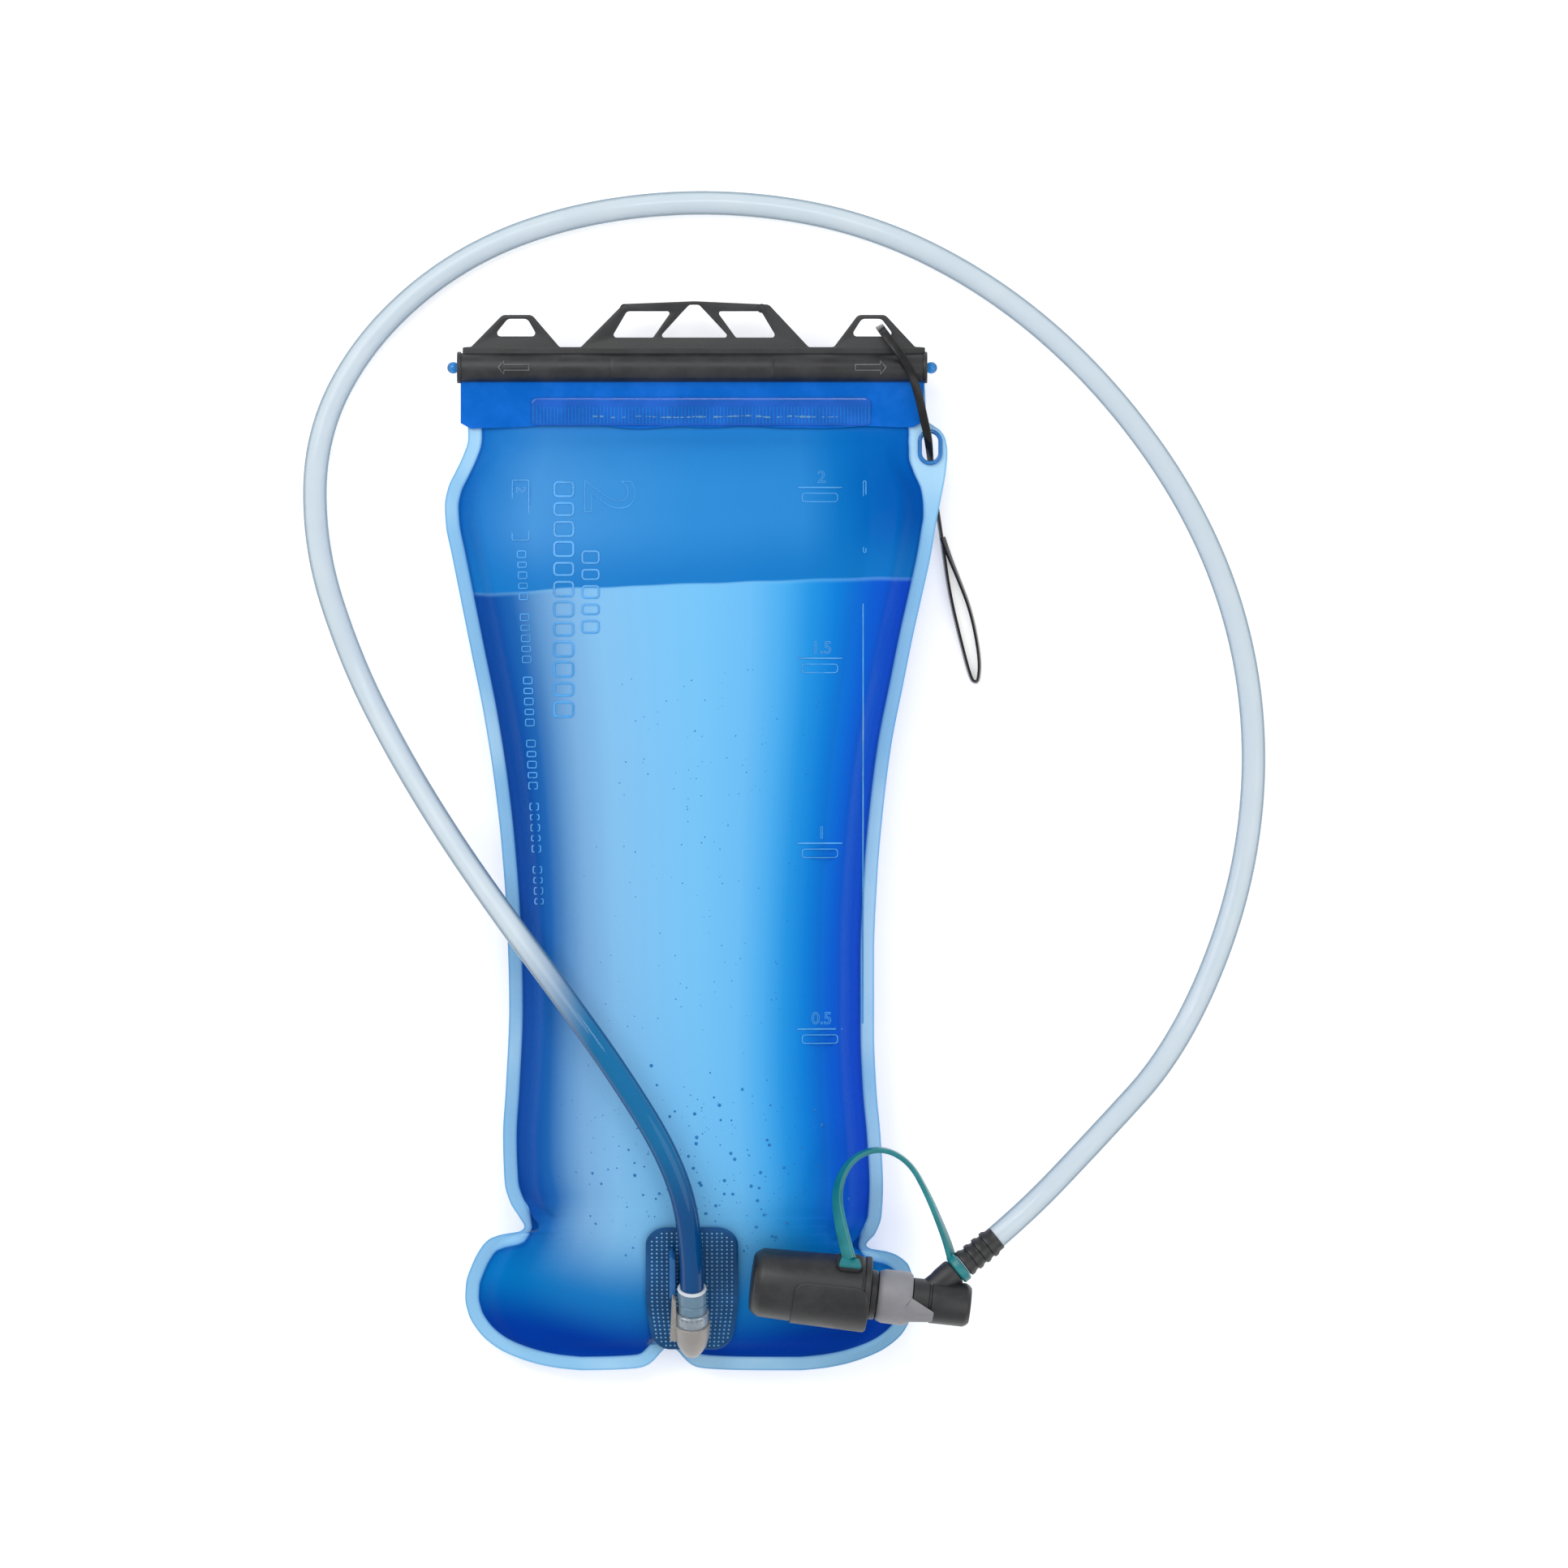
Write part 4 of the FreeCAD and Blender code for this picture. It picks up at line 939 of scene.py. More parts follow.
class BLADDER_OT_stage(Builder, bpy.types.Operator):
    """Lay the pale floor, hang the soft lights and aim the camera straight down"""
    bl_idname = "bladder.stage"
    bl_label = "Stage"

    def build(self, context):
        bare()
        bpy.ops.mesh.primitive_plane_add(size=6, location=(0, 0, -0.0002))
        floor = added("floor")
        bpy.ops.object.transform_apply()
        floor.data.materials.append(finish_of("floor"))

        lights = [
            # name, size, power, place, aim
            ("key_light", 1.4, 15, (-0.9, 0.9, 1.5), (0, 0, 0)),
            ("fill_light", 1.6, 8, (1.2, -0.5, 1.4), (0, 0, 0)),
            ("top_light", 0.5, 3.5, (0.1, 0.9, 1.9), (0, 0.05, 0)),
        ]
        for name, size, power, place, aim in lights:
            bpy.ops.object.light_add(type="AREA", location=place)
            light = added(name)
            light.data.shape = "DISK"
            light.data.size = size
            light.data.energy = power
            light.rotation_euler = (Vector(aim) - Vector(place)).to_track_quat("-Z", "Y").to_euler()

        world = bpy.data.worlds.new("studio")
        world.use_nodes = True
        world.node_tree.nodes["Background"].inputs["Color"].default_value = (1, 1, 1, 1)
        world.node_tree.nodes["Background"].inputs["Strength"].default_value = 0.66
        context.scene.world = world
        context.scene.view_settings.view_transform = "Standard"

        sensor = 36.0
        centre = Vector((32.8, 18.6, 20.0)) * MM
        distance = stage().view_width * stage().lens / sensor
        bpy.ops.object.camera_add(location=centre + Z_AXIS * distance, rotation=(0, 0, 0))
        camera = added("camera")
        camera.data.lens = stage().lens
        camera.data.sensor_width = sensor
        camera.data.clip_end = 20
        context.scene.camera = camera


class BLADDER_OT_tube(Builder, bpy.types.Operator):
    """Run the clear drink tube from the port over the bag, round it and up to the valve"""
    bl_idname = "bladder.tube"
    bl_label = "Drink tube"

    def build(self, context):
        port, branch = port_frame(), branch_frame()
        rest = tube().diameter / MM / 2 + 0.05
        leave = [port @ (Vector((0, along, 8.0)) * MM) for along in (5.6, 30.6)]
        arrive = [branch @ (Vector((0, 0, along)) * MM) for along in (45.0, 20.0)]
        middle = [
            (-7.5, -114.0, 62.6),
            (-26.0, -84.0, 65.4),
            (-47.0, -55.0, 58.0),
            (-68.0, -27.0, 44.0),
            (-87.0, 0.0, 28.0),
            (-105.0, 29.0, 13.0),
            (-122.0, 62.0, rest),
            (-135.5, 103.0, rest),
            (-135.0, 145.0, rest),
            (-115.0, 181.0, rest),
            (-80.0, 209.5, rest),
            (-36.0, 224.5, rest),
            (14.0, 228.0, rest),
            (63.0, 219.5, rest),
            (108.0, 197.0, rest),
            (147.0, 163.0, rest),
            (179.0, 119.0, rest),
            (197.5, 72.0, rest),
            (202.5, 22.0, rest),
            (194.5, -28.0, rest),
            (173.0, -77.0, 12.0),
            (144.0, -108.0, 33.0),
        ]
        route = leave + [Vector(point) * MM for point in middle] + arrive
        line = spline_curve("tube_route", route)
        line.data.splines[0].resolution_u = 12
        context.view_layer.update()
        centre = bpy.data.meshes.new_from_object(line.evaluated_get(context.evaluated_depsgraph_get()))
        line.data.bevel_depth = tube().diameter / 2
        line.data.bevel_resolution = 10
        pick(line)
        bpy.ops.object.convert(target="MESH")
        hose = added("drink_tube_clear")
        seal(hose, 1e-6)
        modify(hose, "SOLIDIFY", thickness=tube().wall, offset=-1, use_rim=True)
        dress(hose, finish_of("tube"), "hose", ["drink_tube"], smooth=60)


class BLADDER_OT_films(Builder, bpy.types.Operator):
    """Shape the front and back films, with their buckles and welded border"""
    bl_idname = "bladder.films"
    bl_label = "Films"

    def build(self, context):
        for name, front in (("front_film_bulged", True), ("back_film_bulged", False)):
            obj = build_film(name, front)
            modify(obj, "SOLIDIFY", thickness=film().thickness, offset=-1, use_rim=True)
            bare()
            low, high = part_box("eyelet_ring")
            bpy.ops.mesh.primitive_cylinder_add(vertices=48, radius=1, depth=1, location=(low + high) / 2,
                                                scale=(3.4 * MM, 5.4 * MM, 20 * MM))
            punch = added("hole_punch")
            modify(obj, "BOOLEAN", object=punch, operation="DIFFERENCE", solver="EXACT")
            bpy.data.objects.remove(punch, do_unlink=True)
            dress(obj, finish_of("film"), "bag", ["front_film" if front else "back_film"],
                  smooth=50)


def port_frame():
    """Y along the plug's axis, Z out of the film, in metres."""
    along = Vector(JOINTS["plug_release"]["axis"]).normalized()
    out = X_AXIS.cross(along)
    low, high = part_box("port_plate")
    origin = (low + high) / 2 - out * 0.8 * MM
    return placed(X_AXIS, along, out, origin)


def placed(x, y, z, origin):
    matrix = Matrix((x, y, z)).transposed().to_4x4()
    matrix.translation = origin
    return matrix


def valve_frame():
    """X along the valve from its cap, Y across it on the floor's plane, in metres."""
    joint = JOINTS["shutoff_twist"]
    along = Vector(joint["axis"]).normalized()
    side = Z_AXIS.cross(along).normalized()
    return placed(along, side, along.cross(side), Vector(joint["pos_m"]))


def branch_frame():
    """Z along the valve's branch, outwards."""
    valve = valve_frame()
    out = Vector((1, 1, 0)).normalized()
    turn = Z_AXIS.rotation_difference(out).to_matrix().to_4x4()
    return valve @ shift(15.1, 0, 0) @ turn


ALONG_X = Matrix.Rotation(math.pi / 2, 4, "Y")
ALONG_Y = Matrix.Rotation(-math.pi / 2, 4, "X")


class BLADDER_OT_valve(Builder, bpy.types.Operator):
    """Turn the valve's body, its branch and barb, the shut-off sleeve and the bite piece"""
    bl_idname = "bladder.valve"
    bl_label = "Valve"

    def build(self, context):
        place = valve_frame() @ ALONG_X
        barrel = turned("valve_barrel", [
            (-2.9, 0), (-2.9, 8.3), (-2.4, 8.85), (-0.8, 8.85), (-0.3, 8.4), (-0.3, 6.0), (12.3, 6.0),
            (12.3, 7.2), (12.7, 7.7), (18.2, 7.7), (18.5, 7.3), (19.1, 7.3), (19.4, 7.8), (31.4, 7.8),
            (32.6, 7.2), (33.4, 6.4), (33.4, 4.6), (32.2, 4.4), (32.2, 0)], place)
        neck = turned("valve_neck", [
            (3.0, 0), (3.0, 4.6), (9.0, 4.6), (11.0, 4.9), (15.4, 5.1), (16.3, 4.8), (16.5, 4.2), (16.5, 0)],
            branch_frame())
        ribs = [(19.9, 3.2)]
        for i in range(4):
            base = 20.3 + 3.5 * i
            ribs += [(base, 4.4), (base + 0.3, 5.1), (base + 1.6, 5.1), (base + 2.6, 4.5)]
        ribs += [(35.6, 4.4), (35.6, 3.2), (19.9, 3.2)]
        barb = turned("valve_barb", ribs, branch_frame())
        body = join("valve_body_shell", [barrel, neck, barb])
        dress(body, finish_of("black"), "hose", ["valve_body"])

        ring = turned("strap_ring_band", [
            (16.6, 4.3), (16.7, 5.2), (17.2, 5.6), (19.3, 5.6), (19.8, 5.2), (19.9, 4.3), (16.6, 4.3)],
            branch_frame())
        dress(ring, finish_of("teal"), "hose", ["strap_ring"])

        sleeve = turned("sleeve_barrel", [
            (0.1, 6.1), (0.1, 8.4), (0.5, 8.9), (2.4, 9.6), (9.6, 9.7), (11.4, 9.3), (12.2, 8.6), (12.2, 6.1),
            (0.1, 6.1)], place)
        outline = rounded([(7.0, -8.6), (20.2, -7.2), (20.4, -3.6), (12.0, 0.6), (7.0, 2.6)],
                          [1, 0.8, 0.8, 2, 1])
        arm = plate("sleeve_pointer", [outline], 1.3, 0.3)
        modify(arm, "SUBSURF", subdivision_type="SIMPLE", levels=1, render_levels=1)
        for vertex in arm.data.vertices:
            y = vertex.co.y
            vertex.co.z += math.sqrt(max((9.7 * MM) ** 2 - y * y, 0)) - 0.7 * MM
        put(arm, valve_frame())
        sleeve = join("shutoff_sleeve_shell", [sleeve, arm])
        dress(sleeve, finish_of("grey"), "shutoff", ["shutoff_sleeve"])

        bite = turned("bite_piece", [
            (-33.0, 0), (-33.0, 4.6), (-32.2, 6.2), (-30.0, 7.2), (-20.0, 6.6), (-12.0, 7.0), (-9.0, 8.4),
            (-6.0, 8.6), (-3.2, 8.2), (-3.0, 4.7), (-30.4, 4.7), (-30.6, 0)], place)
        dress(bite, finish_of("silicone"), "hose", ["bite_valve"])


class BLADDER_OT_cap(Builder, bpy.types.Operator):
    """Turn the dust cap with its raised panel, and fit the strap's button"""
    bl_idname = "bladder.cap"
    bl_label = "Dust cap"

    def build(self, context):
        valve = valve_frame()
        shell = turned("cap_barrel", [
            (-44.8, 0), (-44.8, 9.4), (-44.5, 10.2), (-43.9, 10.9), (-42.2, 12.0), (-41.4, 12.3),
            (-30.0, 12.6), (-6.4, 13.3), (-6.0, 13.0), (-5.4, 13.0), (-5.0, 13.4), (-3.3, 13.45),
            (-3.0, 13.1), (-3.0, 12.1), (-43.2, 10.9), (-43.4, 0)], valve @ ALONG_X)

        def saddle(x, y, z):
            radius = 12.75 + 0.018 * x + z
            turn = math.radians(-57) + y / 13.0
            return (x - 16.8, radius * math.sin(turn), radius * math.cos(turn))

        panel = pad("cap_panel", 26.4, 30.0, 4.4, 0.75, 0.3, saddle, (24, 40))
        put(panel, valve)
        seat = valve @ Matrix.Rotation(math.radians(-52), 4, "X") @ shift(-11.3, 0, 11.8)
        boss = pad("cap_boss", 9.6, 8.6, 2.4, 2.5, 0.5)
        put(boss, seat)
        cap = join("dust_cap_shell", [shell, panel, boss])
        dress(cap, finish_of("black"), "cap", ["dust_cap"])

        def trapezoid(x, y, z):
            return (x * (1 - 0.06 * y), y - 1.6, z + 1.6)

        button = pad("strap_button", 7.2, 4.6, 0.9, 1.9, 0.4, trapezoid)
        put(button, seat)
        dress(button, finish_of("teal"), "cap", ["cap_button"])


class BLADDER_OT_cap_strap(Builder, bpy.types.Operator):
    """Loop the teal strap from the valve's neck to the cap"""
    bl_idname = "bladder.cap_strap"
    bl_label = "Cap strap"

    def build(self, context):
        valve = valve_frame()
        route = [(25.6, 14.6, 0), (24.0, 19.0, 0), (20.6, 26.0, 0), (13.6, 38.4, 0), (6.0, 48.8, 0),
                 (-4.6, 52.6, 0), (-14.4, 47.6, 0), (-18.6, 37.4, 0), (-17.0, 26.0, 2.4), (-11.6, 11.6, 8.8)]
        tilts = [60, 62, 70, 79, 84, 85, 78, 64, 50, 30]
        band = strap("cap_strap_band", route, 5.0, 1.7, tilts)
        put(band, valve)
        dress(band, finish_of("teal"), None, ["cap_strap"], smooth=50)
        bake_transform(band)


class BLADDER_OT_port(Builder, bpy.types.Operator):
    """Build the dotted port plate, the socket's toe, its clear ring, the plug and its collar"""
    bl_idname = "bladder.port"
    bl_label = "Port"

    def build(self, context):
        port = port_frame()

        def narrowed(x, y, z):
            return (x * (1 - 0.13 * fade(-y, 4, 26)), y, z)

        base = pad("port_plate_pad", 33.0, 52.0, 7.5, 1.5, 0.5, narrowed, (30, 44))
        dress(put(base, port), finish_of("port"), "bag", ["port_plate"])

        columns, rows, column_step, row_step, dot_height = 17, 29, 1.78, 1.72, 0.22
        bare()
        bpy.ops.mesh.primitive_circle_add(vertices=8, radius=0.42 * MM, fill_type="NGON")
        dot = added("port_dot")
        edit(dot)
        bpy.ops.mesh.extrude_region_move(TRANSFORM_OT_translate={"value": (0, 0, dot_height * MM)})
        bpy.ops.transform.resize(value=(0.55, 0.55, 1), center_override=(0, 0, dot_height * MM))
        bpy.ops.object.mode_set(mode="OBJECT")
        points, faces = [], []
        for i in range(columns):
            for j in range(rows):
                x = (i - (columns - 1) / 2) * column_step
                y = (j - (rows - 1) / 2) * row_step
                corner = math.hypot(max(abs(x) - 9.5, 0), max(abs(y) - 18.5, 0))
                if corner > 6.0:
                    continue
                spot = Vector(narrowed(x, y, 1.46)) * MM
                base_index = len(points)
                points += [tuple(vertex.co + spot) for vertex in dot.data.vertices]
                faces += [tuple(k + base_index for k in polygon.vertices) for polygon in dot.data.polygons]
        bpy.data.objects.remove(dot)
        dots = faced("port_dots", points, faces)
        seal(dots, 1e-7)
        dress(put(dots, port), finish_of("dots"), "bag", smooth=20)

        axis = port @ shift(0, 0, 8.0) @ ALONG_Y
        toe = turned("port_toe", [
            (-24.6, 0), (-24.3, 1.2), (-23.2, 2.7), (-21.0, 4.2), (-18.0, 5.5), (-14.5, 6.3), (-9.8, 6.5),
            (-9.6, 6.3), (-9.6, 4.7), (-19.0, 4.7), (-19.0, 0)], axis)
        keel = pad("port_keel", 10.6, 15.0, 3.2, 6.0, 0.7)
        put(keel, port @ shift(0, -15.0, 1.5))
        outline = rounded([(-1.6, -8.0), (1.2, -8.0), (0.6, 9.0), (-0.8, 10.5)], [0.6, 0.6, 0.3, 0.3])
        cheek = plate("port_cheek", [outline], 5.4, 0.4)
        put(cheek, port @ shift(-6.3, -8.0, 8.2))
        shell = join("port_housing_shell", [toe, keel, cheek])
        dress(shell, finish_of("pale"), "bag", ["port_housing"])

        cup = turned("lock_ring_cup", [
            (-9.5, 4.65), (-9.5, 5.7), (-9.1, 5.9), (-5.0, 5.9), (-4.7, 5.6), (-4.7, 4.65),
            (-9.5, 4.65)], axis)
        dress(cup, finish_of("clear"), "bag", ["lock_ring"])
        ticks = []
        count = 20
        for i in range(count):
            tick = pad(f"lock_tick_{i}", 0.5, 1.0, 0.2, 0.3, 0.08, None, (3, 3))
            turn = Matrix.Rotation(2 * math.pi * i / count, 4, "Z")
            stand = shift(5.85, 0, -5.6) @ ALONG_X
            ticks.append(put(tick, axis @ turn @ stand))
        dress(join("lock_ticks", ticks), finish_of("grey"), "bag", smooth=20)

        plug = turned("plug_core", [
            (-14.0, 2.2), (-14.0, 4.2), (-13.6, 4.5), (-12.4, 4.5), (-12.4, 3.7), (-11.0, 3.7), (-11.0, 4.5),
            (-4.6, 4.5), (-4.6, 3.1), (7.5, 3.1), (8.0, 3.13), (9.4, 2.8), (11.0, 2.75), (11.5, 3.13),
            (13.0, 2.8), (14.6, 2.75), (15.2, 3.13), (17.0, 2.8), (19.0, 2.5), (19.0, 2.2),
            (-14.0, 2.2)], axis)
        dress(plug, finish_of("core"), "hose", ["hose_plug"])
        collar = turned("plug_collar_shell", [
            (-4.5, 3.2), (-4.5, 4.8), (-4.2, 5.1), (-1.0, 5.15), (-0.8, 4.9), (-0.4, 4.9), (-0.2, 5.15),
            (4.2, 5.1), (4.3, 4.9), (4.3, 3.2), (-4.5, 3.2)], axis)
        dress(collar, finish_of("collar"), "hose", ["plug_collar"])
        # painted highlight: a thin white ring at the collar's end stands for the light on its rim
        lip = turned("plug_collar_highlight_lip", [
            (4.35, 4.35), (4.35, 5.05), (4.7, 5.25), (5.3, 5.1), (5.5, 4.8), (5.5, 4.35), (4.35, 4.35)], axis)
        dress(lip, finish_of("painted_highlight"), "hose")
        outline = rounded([(-1.1, -9.0), (1.1, -9.0), (1.1, 7.5), (-0.4, 9.0), (-1.1, 8.2)], 0.5)
        fin = plate("port_fin", [outline], 6.0, 0.4)
        put(fin, port @ shift(-6.9, 9.0, 4.6))
        dress(fin, finish_of("clear blue"), "bag")


class BLADDER_OT_water(Builder, bpy.types.Operator):
    """Fill the bag with water up to its line, just inside the films"""
    bl_idname = "bladder.water"
    bl_label = "Water"

    def build(self, context):
        front, back = Film(True), Film(False)
        inside, columns, rows = 1.4, 60, 110
        top, bottom = film().water_line / MM, -182.0
        points, faces = [], []
        ring = 2 * columns
        for row in range(rows + 1):
            y = bottom + (top - bottom) * row / rows
            left, right = front.seams(y)
            left, right = left + inside, right - inside
            across = [left + (right - left) * i / columns for i in range(columns + 1)]
            loop = [(x, y, max(front.height(x, y) - inside, front.weld(y) + 0.1)) for x in across]
            loop += [(x, y, min(back.height(x, y) + inside, front.weld(y) - 0.1)) for x in across[-2:0:-1]]
            points += [tuple(Vector(point) * MM) for point in loop]
        for row in range(rows):
            for i in range(ring):
                a, b = row * ring + i, row * ring + (i + 1) % ring
                faces.append((a, b, b + ring, a + ring))
        faces += [tuple(range(ring))[::-1], tuple(range(rows * ring, (rows + 1) * ring))]
        body = faced("water_body", points, faces)
        seal(body, 1e-7)
        dress(body, finish_of("water"), "bag", ["water_fill"], smooth=60)


class BLADDER_OT_flap(Builder, bpy.types.Operator):
    """Roll the mouth round its rod, fold the flap down over the front and weld on the grip strip"""
    bl_idname = "bladder.flap"
    bl_label = "Mouth flap"

    def build(self, context):
        rod_low, rod_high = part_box("closure_rod")
        rod = (rod_low + rod_high) / 2 / MM
        low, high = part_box("mouth_flap")
        low, high = low / MM, high / MM
        radius = 3.0           # of the roll round the rod
        top = rod.z + 0.85     # the folded part's height
        half_width = 82.7
        profile = [(rod.y - radius * math.cos(a), rod.z - radius * math.sin(a))
                   for a in [math.radians(20 + 300 * i / 24) for i in range(25)]]
        steps = 36
        start_y = rod.y - radius
        for i in range(steps + 1):
            profile.append((start_y + (low.y - start_y) * i / steps, top))
        columns = 150
        points = []
        for row, (y, z) in enumerate(profile):
            for column in range(columns + 1):
                share = -1 + 2 * column / columns
                x = share * half_width
                down = fade(y, rod.y - 8, low.y)
                hem = 1.3 * noise.noise(Vector((x / 19, 0.3, 1.2))) - 0.9 * abs(share) ** 6
                corner = 4.2 * max(0.0, abs(share) - 0.955) / 0.045
                lift = 0.35 * noise.noise(Vector((x / 12, y / 7, 4.4))) + 0.3
                points.append((x * MM, (y + down * (hem + 0.6 * corner)) * MM, (z + down * lift) * MM))
        wide = columns + 1
        faces = []
        for row in range(len(profile) - 1):
            for column in range(columns):
                a = row * wide + column
                faces.append((a, a + wide, a + wide + 1, a + 1))
        flap = faced("mouth_flap_fold", points, faces)
        seal(flap, 1e-7)
        modify(flap, "SOLIDIFY", thickness=0.6 * MM, offset=0)
        dress(flap, finish_of("flap"), "bag", ["mouth_flap"], smooth=50)

        strip_low, strip_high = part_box("grip_strip")
        size = (strip_high - strip_low) / MM
        centre = (strip_high + strip_low) / 2
        base = pad("grip_strip_pad", size.x, size.y, 1.8, 0.35, 0.12, None, (60, 8))
        put(base, Matrix.Translation(Vector((centre.x, centre.y, strip_low.z + 0.25 * MM))))
        ribs = []
        count = 96
        for i in range(count):
            x = strip_low.x + (strip_high.x - strip_low.x) * (i + 0.5) / count
            bare()
            bpy.ops.mesh.primitive_cube_add(size=1, location=(x, centre.y - 1.2 * MM, strip_high.z),
                                            scale=(0.55 * MM, size.y * 0.62 * MM, 0.3 * MM))
            rib = added(f"grip_rib_{i}")
            bpy.ops.object.transform_apply()
            ribs.append(rib)
        ribs = join("grip_ribs", ribs)
        soften(ribs, 0.1 * MM, 1)
        # painted highlight: the ribs take a lighter blue than their strip
        dress(ribs, finish_of("rib"), "bag", smooth=30)
        dress(base, finish_of("strip"), "bag", ["grip_strip"], smooth=30)

        random.seed(3)
        beads = []
        for _ in range(90):
            x = random.uniform(-36, 52)
            along = strip_low.y / MM + 3.2 + 0.5 * noise.noise(Vector((x / 8, 2.2, 5.5)))
            radius = 0.22 + 0.4 * random.random() ** 2
            bare()
            bpy.ops.mesh.primitive_ico_sphere_add(subdivisions=2, radius=radius * MM, scale=(1.7, 0.8, 0.5))
            obj = added("bead")
            bpy.ops.object.transform_apply()
            beads.append(put(obj, shift(x, along, strip_high.z / MM + 0.15)))
        dress(join("strip_beads", beads), finish_of("bead"), "bag", smooth=80)


class BLADDER_OT_slider(Builder, bpy.types.Operator):
    """Mould the slide closure: its C-shaped channel, three handles, panel and arrows"""
    bl_idname = "bladder.slider"
    bl_label = "Slide closure"

    def build(self, context):
        low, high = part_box("closure_slider")
        rod_low, rod_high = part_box("closure_rod")
        rod = (rod_low + rod_high) / 2
        half = (high.x - low.x) / 2 / MM
        origin = Matrix.Translation(rod)

        opening = math.radians(17)
        turns = [opening + (2 * math.pi - 2 * opening) * i / 48 for i in range(49)]

        def arc(radius, angles=turns):
            return [(-radius * math.cos(a), -radius * math.sin(a)) for a in angles]

        inner = arc(3.6, (turns[0] * 1.35, *turns[2:-2], -turns[0] * 1.35))
        channel = plate("slider_channel", [arc(5.3) + inner[::-1]], 2 * half, 0.35)
        stand = placed(Y_AXIS, Z_AXIS, X_AXIS, Vector())
        put(channel, origin @ stand)

        plate_outline = rounded([
            (-82.0, 3.4), (83.2, 3.4), (83.2, 7.3), (79.6, 7.5), (69.0, 18.9), (59.2, 18.9), (50.6, 7.4),
            (41.6, 7.4), (27.4, 22.6), (0.8, 23.8), (-24.6, 22.8), (-39.8, 7.4), (-47.4, 7.4), (-57.2, 18.9),
            (-67.8, 18.9), (-79.0, 7.5), (-82.0, 7.3)],
            [0.3, 0.3, 0.5, 1.2, 2.6, 2.6, 1.4, 1.4, 2.4, 30, 2.4, 1.4, 1.4, 2.6, 2.6, 1.2, 0.5])
        windows = [
            rounded([(-71.0, 11.2), (-55.2, 11.2), (-58.9, 17.5), (-65.9, 17.5)], [1.2, 1.2, 2.2, 2.2]),
            rounded([(-28.8, 10.8), (-14.0, 10.8), (-7.4, 20.2), (-23.3, 20.2)], [1.0, 1.0, 0.8, 1.8]),
            rounded([(-11.8, 10.8), (13.4, 10.8), (5.2, 19.6), (2.4, 22.5), (-1.0, 22.5), (-3.8, 19.6)],
                    [0.8, 0.8, 2.5, 1.4, 1.4, 2.5]),
            rounded([(15.6, 10.8), (30.2, 10.8), (24.6, 20.2), (8.8, 20.2)], [1.0, 1.0, 1.8, 0.8]),
            rounded([(56.6, 11.2), (72.4, 11.2), (67.6, 17.5), (60.6, 17.5)], [1.2, 1.2, 2.2, 2.2]),
        ]
        handles = plate("slider_handles", [plate_outline, *windows], 2.5, 0.35, origin)

        lips = []
        for side in (-1, 1):
            lip = plate(f"slider_lip_{side}", [arc(5.75) + arc(3.7)[::-1]], 1.5, 0.3)
            put(lip, origin @ shift(side * (half - 0.75), 0, 0) @ stand)
            lips.append(lip)

        def on_tube(x, y, z):
            radius = 5.25 + z
            turn = y / 5.3
            return (x, radius * math.sin(turn), radius * math.cos(turn))

        panel = pad("slider_panel", 58.4, 8.2, 1.0, 0.5, 0.16, on_tube, (40, 16))
        put(panel, origin)
        arrows = []
        for side in (-1, 1):
            loops = []
            for tail, neck, tip, shaft, head, corner in (
                    (58.0, 67.0, 69.6, 1.2, 2.8, 0.2), (58.6, 67.4, 68.8, 0.7, 1.8, 0.1)):
                loop = [(tail, shaft), (neck, shaft), (neck, head), (tip, 0), (neck, -head), (neck, -shaft),
                        (tail, -shaft)]
                loops.append(rounded([(side * x, y) for x, y in loop][::side], corner, 2))
            arrow = plate(f"slider_arrow_{side}", loops, 1.1, 0.12)
            for vertex in arrow.data.vertices:
                vertex.co = Vector(on_tube(*(vertex.co / MM))) * MM
            arrows.append(put(arrow, origin))
        rings = []
        for x in (-24.2, 24.8):
            rings.append(turned(f"slider_ring_{x}", [
                (0.9, 1.3), (1.45, 1.3), (1.45, 1.65), (0.9, 1.65), (0.9, 1.3)],
                origin @ shift(x, 21.2, 0), 24))
        # painted highlight: the arrows take a lighter black than the slider
        dress(join("slider_arrows", arrows), finish_of("wear_and_sheen"), "slider", smooth=32)
        slider = join("closure_slider_shell", [channel, handles, *lips, panel, *rings])
        dress(slider, finish_of("black"), "slider", ["closure_slider"], smooth=32)


